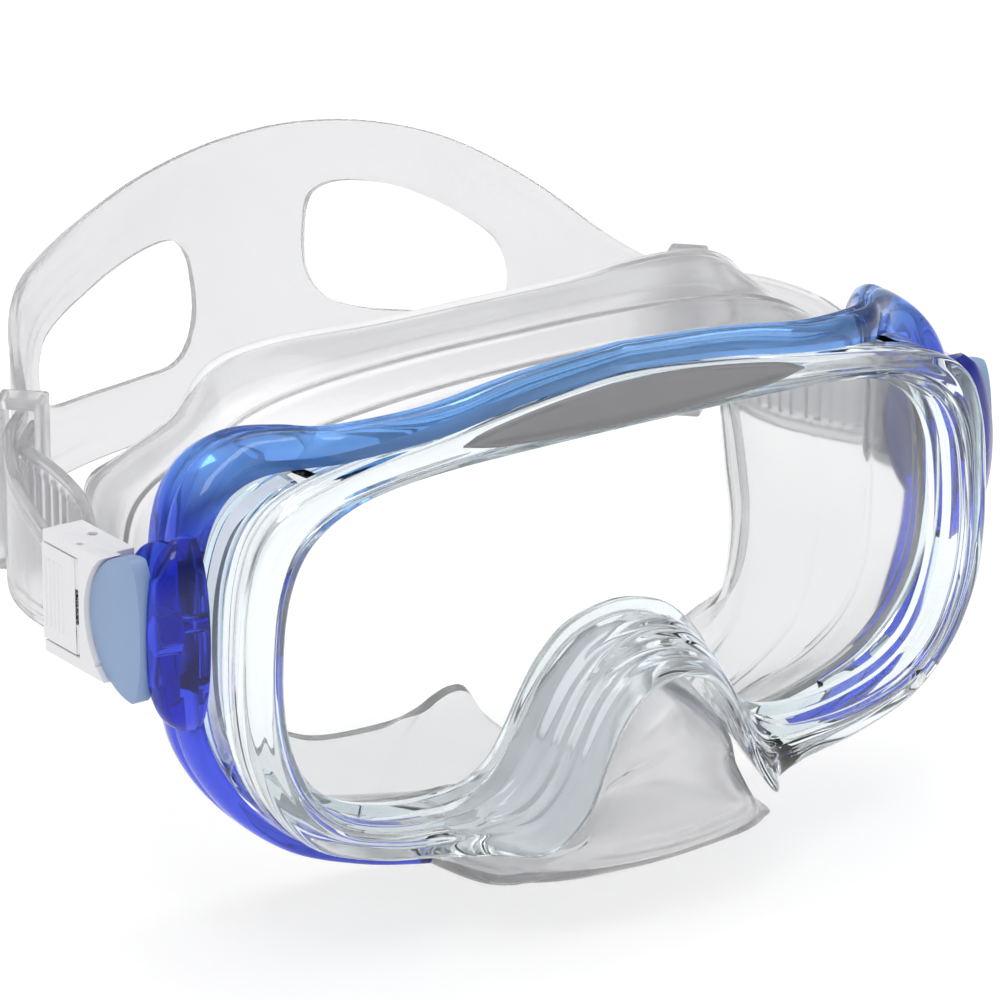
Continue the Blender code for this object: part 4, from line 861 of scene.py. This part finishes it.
LEFT_OUTLINE = [(p[0], p[1]) for p in spline(WINDOW_LEFT, 4, closed=True)]
RIGHT_OUTLINE = [(-p[0], p[1]) for p in spline(WINDOW_RIGHT, 4, closed=True)]
rows = []
n = len(path)
run = 0.0
for k, q in enumerate(path):
    a, b = path[max(0, k - 1)], path[min(n - 1, k + 1)]
    if k:
        run += float(np.linalg.norm((q - path[k - 1])[:2]))
    t = (b - a)[:2]
    t = t / np.linalg.norm(t)
    nrm = np.array((-t[1], t[0]))
    z0, z1 = q[2], q[3]
    e = min(k, n - 1 - k)
    if e < 14:
        f = math.sqrt(max(0.02, 1 - (1 - (e + 0.6) / 14.6) ** 2))
        mid, h = (z0 + z1) / 2, (z1 - z0) / 2 * f
        z0, z1 = mid - h, mid + h
    in_tail = e < n_tail
    rear = q[1] > 86
    ring = []
    N = 46
    for side in (1, -1):                              # towards the head, then away from it
        for j in range(N + 1):
            s = j / N if side > 0 else 1 - j / N
            z = z0 + (z1 - z0) * s
            edge = min(s, 1 - s) * (z1 - z0)
            h = STRAP_T / 2 * (0.55 + 0.45 * min(1.0, edge / 0.5))
            if edge > 0.6:
                h -= 0.22 * min(1.0, (edge - 0.6) / 0.4)
                h += 0.30 * math.exp(-((edge - 2.6) / 0.45) ** 2)
            if in_tail and side > 0 and 2.0 < edge:
                h += 0.22 * (1 if (e * 0.5) % 2.6 < 1.2 else -1) * min(1.0, (edge - 2.0) / 0.4)
            if rear:
                dist = min(outline_distance(q[0], z, LEFT_OUTLINE), outline_distance(q[0], z, RIGHT_OUTLINE))
                h += 0.34 * math.exp(-((dist - 1.4) / 0.6) ** 2) + 0.22 * math.exp(-((dist - 3.6) / 0.4) ** 2)
            ring.append((q[0] + nrm[0] * h * side, q[1] + nrm[1] * h * side, z))
    rows.append(ring)
strap_ob = from_grid("strap_band", rows, M_STRAP, cap=True)
for outline in (LEFT_OUTLINE, RIGHT_OUTLINE):
    strap_ob = boolean(strap_ob, prism("window", outline, "Y", 88.0, 128.0), "DIFFERENCE")
place(strap_ob, "head_strap", "strap_assembly", 50)

# --- keepers ----------------------------------------------------------------------------------------
KC = np.array((69.75, 78.55))
KT = np.array((-0.685, 0.729))
KT = KT / np.linalg.norm(KT)
outer = box("keeper", (-KEEPER_L / 2, KEEPER_L / 2), (-4.2, 4.2), (-2.3, 28.0), M_STRAP)
keeper = boolean(outer, box("slot", (-9, 9), (-2.75, 2.75), (-0.7, 26.4)), "DIFFERENCE")
keeper = bevelled(keeper, 0.6, 3, 40)
keeper.matrix_world = Matrix.Translation((KC[0] * MM, KC[1] * MM, 0)) @ Matrix.Rotation(math.atan2(KT[1], KT[0]), 4, "Z")
keeper = bake(keeper)
for ob, side in twins(keeper, "keeper_loop"):
    place(ob, "strap_keeper_" + side, "keeper_" + side, 35)

# --- CAD nodes that stay ------------------------------------------------------------------------------
for name, mat in (("front_lens", M_GLASS), ("pivot_pin", M_STEEL), ("roller_pin", M_STEEL), ("lever_pin", M_STEEL),
                  ("lever_spring", M_STEEL), ("strap_roller", M_ROLLER)):
    for node in ([name] if name in NODES else [name + "_left", name + "_right"]):
        ob = NODES[node]
        for sl in ob.material_slots:
            sl.material = mat

# --- floor, light, camera --------------------------------------------------------------------------------
scene = bpy.context.scene
scene.view_settings.view_transform = "Standard"
scene.view_settings.look = "None"
floor_mat = bpy.data.materials.new("pale_floor")
nt, b = nodes_of(floor_mat)
b.inputs["Base Color"].default_value = (0.50, 0.50, 0.50, 1.0)
b.inputs["Roughness"].default_value = 0.9
b.inputs["Specular IOR Level"].default_value = 0.1
b.inputs["Emission Color"].default_value = (1.0, 1.0, 1.0, 1.0)
b.inputs["Emission Strength"].default_value = 0.62
bpy.ops.mesh.primitive_plane_add(size=12.0, location=(0, 0, -0.0562))
floor = bpy.context.object
floor.name = "floor"
floor.data.materials.append(floor_mat)

world = bpy.data.worlds.new("studio")
scene.world = world
world.use_nodes = True
nt = world.node_tree
bg = nt.nodes["Background"]
tc = nt.nodes.new("ShaderNodeTexCoord")
sep = nt.nodes.new("ShaderNodeSeparateXYZ")
nt.links.new(tc.outputs["Generated"], sep.inputs[0])
ramp = nt.nodes.new("ShaderNodeValToRGB")
els = ramp.color_ramp.elements
stops = ((0.0, 0.95), (0.50, 0.95), (0.56, 0.60), (0.66, 0.30), (0.80, 0.72), (1.0, 1.15))
while len(els) < len(stops):
    els.new(0.5)
for e, (pos, val) in zip(els, stops):
    e.position = pos
    e.color = (val, val, val, 1.0)
rng = nt.nodes.new("ShaderNodeMapRange")
rng.inputs["From Min"].default_value = -1.0
rng.inputs["From Max"].default_value = 1.0
nt.links.new(sep.outputs["Z"], rng.inputs["Value"])
nt.links.new(rng.outputs["Result"], ramp.inputs["Fac"])
nt.links.new(ramp.outputs["Color"], bg.inputs["Color"])
bg.inputs["Strength"].default_value = 0.95


def softbox(name, place_at, aim, size, power):
    light = bpy.data.lights.new(name, "AREA")
    light.shape = "RECTANGLE"
    light.size, light.size_y = size
    light.energy = power
    ob = bpy.data.objects.new(name, light)
    ob.location = place_at
    ob.rotation_euler = (Vector(aim) - Vector(place_at)).to_track_quat("-Z", "Y").to_euler()
    scene.collection.objects.link(ob)


softbox("key", (-0.55, -0.55, 0.9), (0, 0.03, 0), (0.5, 0.35), 2.4)
softbox("fill", (0.7, -0.5, 0.55), (0, 0.03, 0), (0.3, 0.6), 0.9)
softbox("top", (0.1, 0.35, 1.0), (0, 0.03, 0), (0.8, 0.3), 1.6)

cam_data = bpy.data.cameras.new("camera")
cam_data.sensor_width = 36.0
cam_data.lens = 237.6
cam_data.clip_end = 50.0
cam = bpy.data.objects.new("camera", cam_data)
back = Vector((-0.539, -0.770, 0.342)).normalized()
target = Vector((-14.7, 17.4, 16.0)) * MM
cam.location = target + back * 1.1
right = Vector((0.819, -0.574, 0.0)).normalized()
up = back.cross(right).normalized()
cam.rotation_euler = Matrix((right, up, back)).transposed().to_euler()
scene.collection.objects.link(cam)
scene.camera = cam
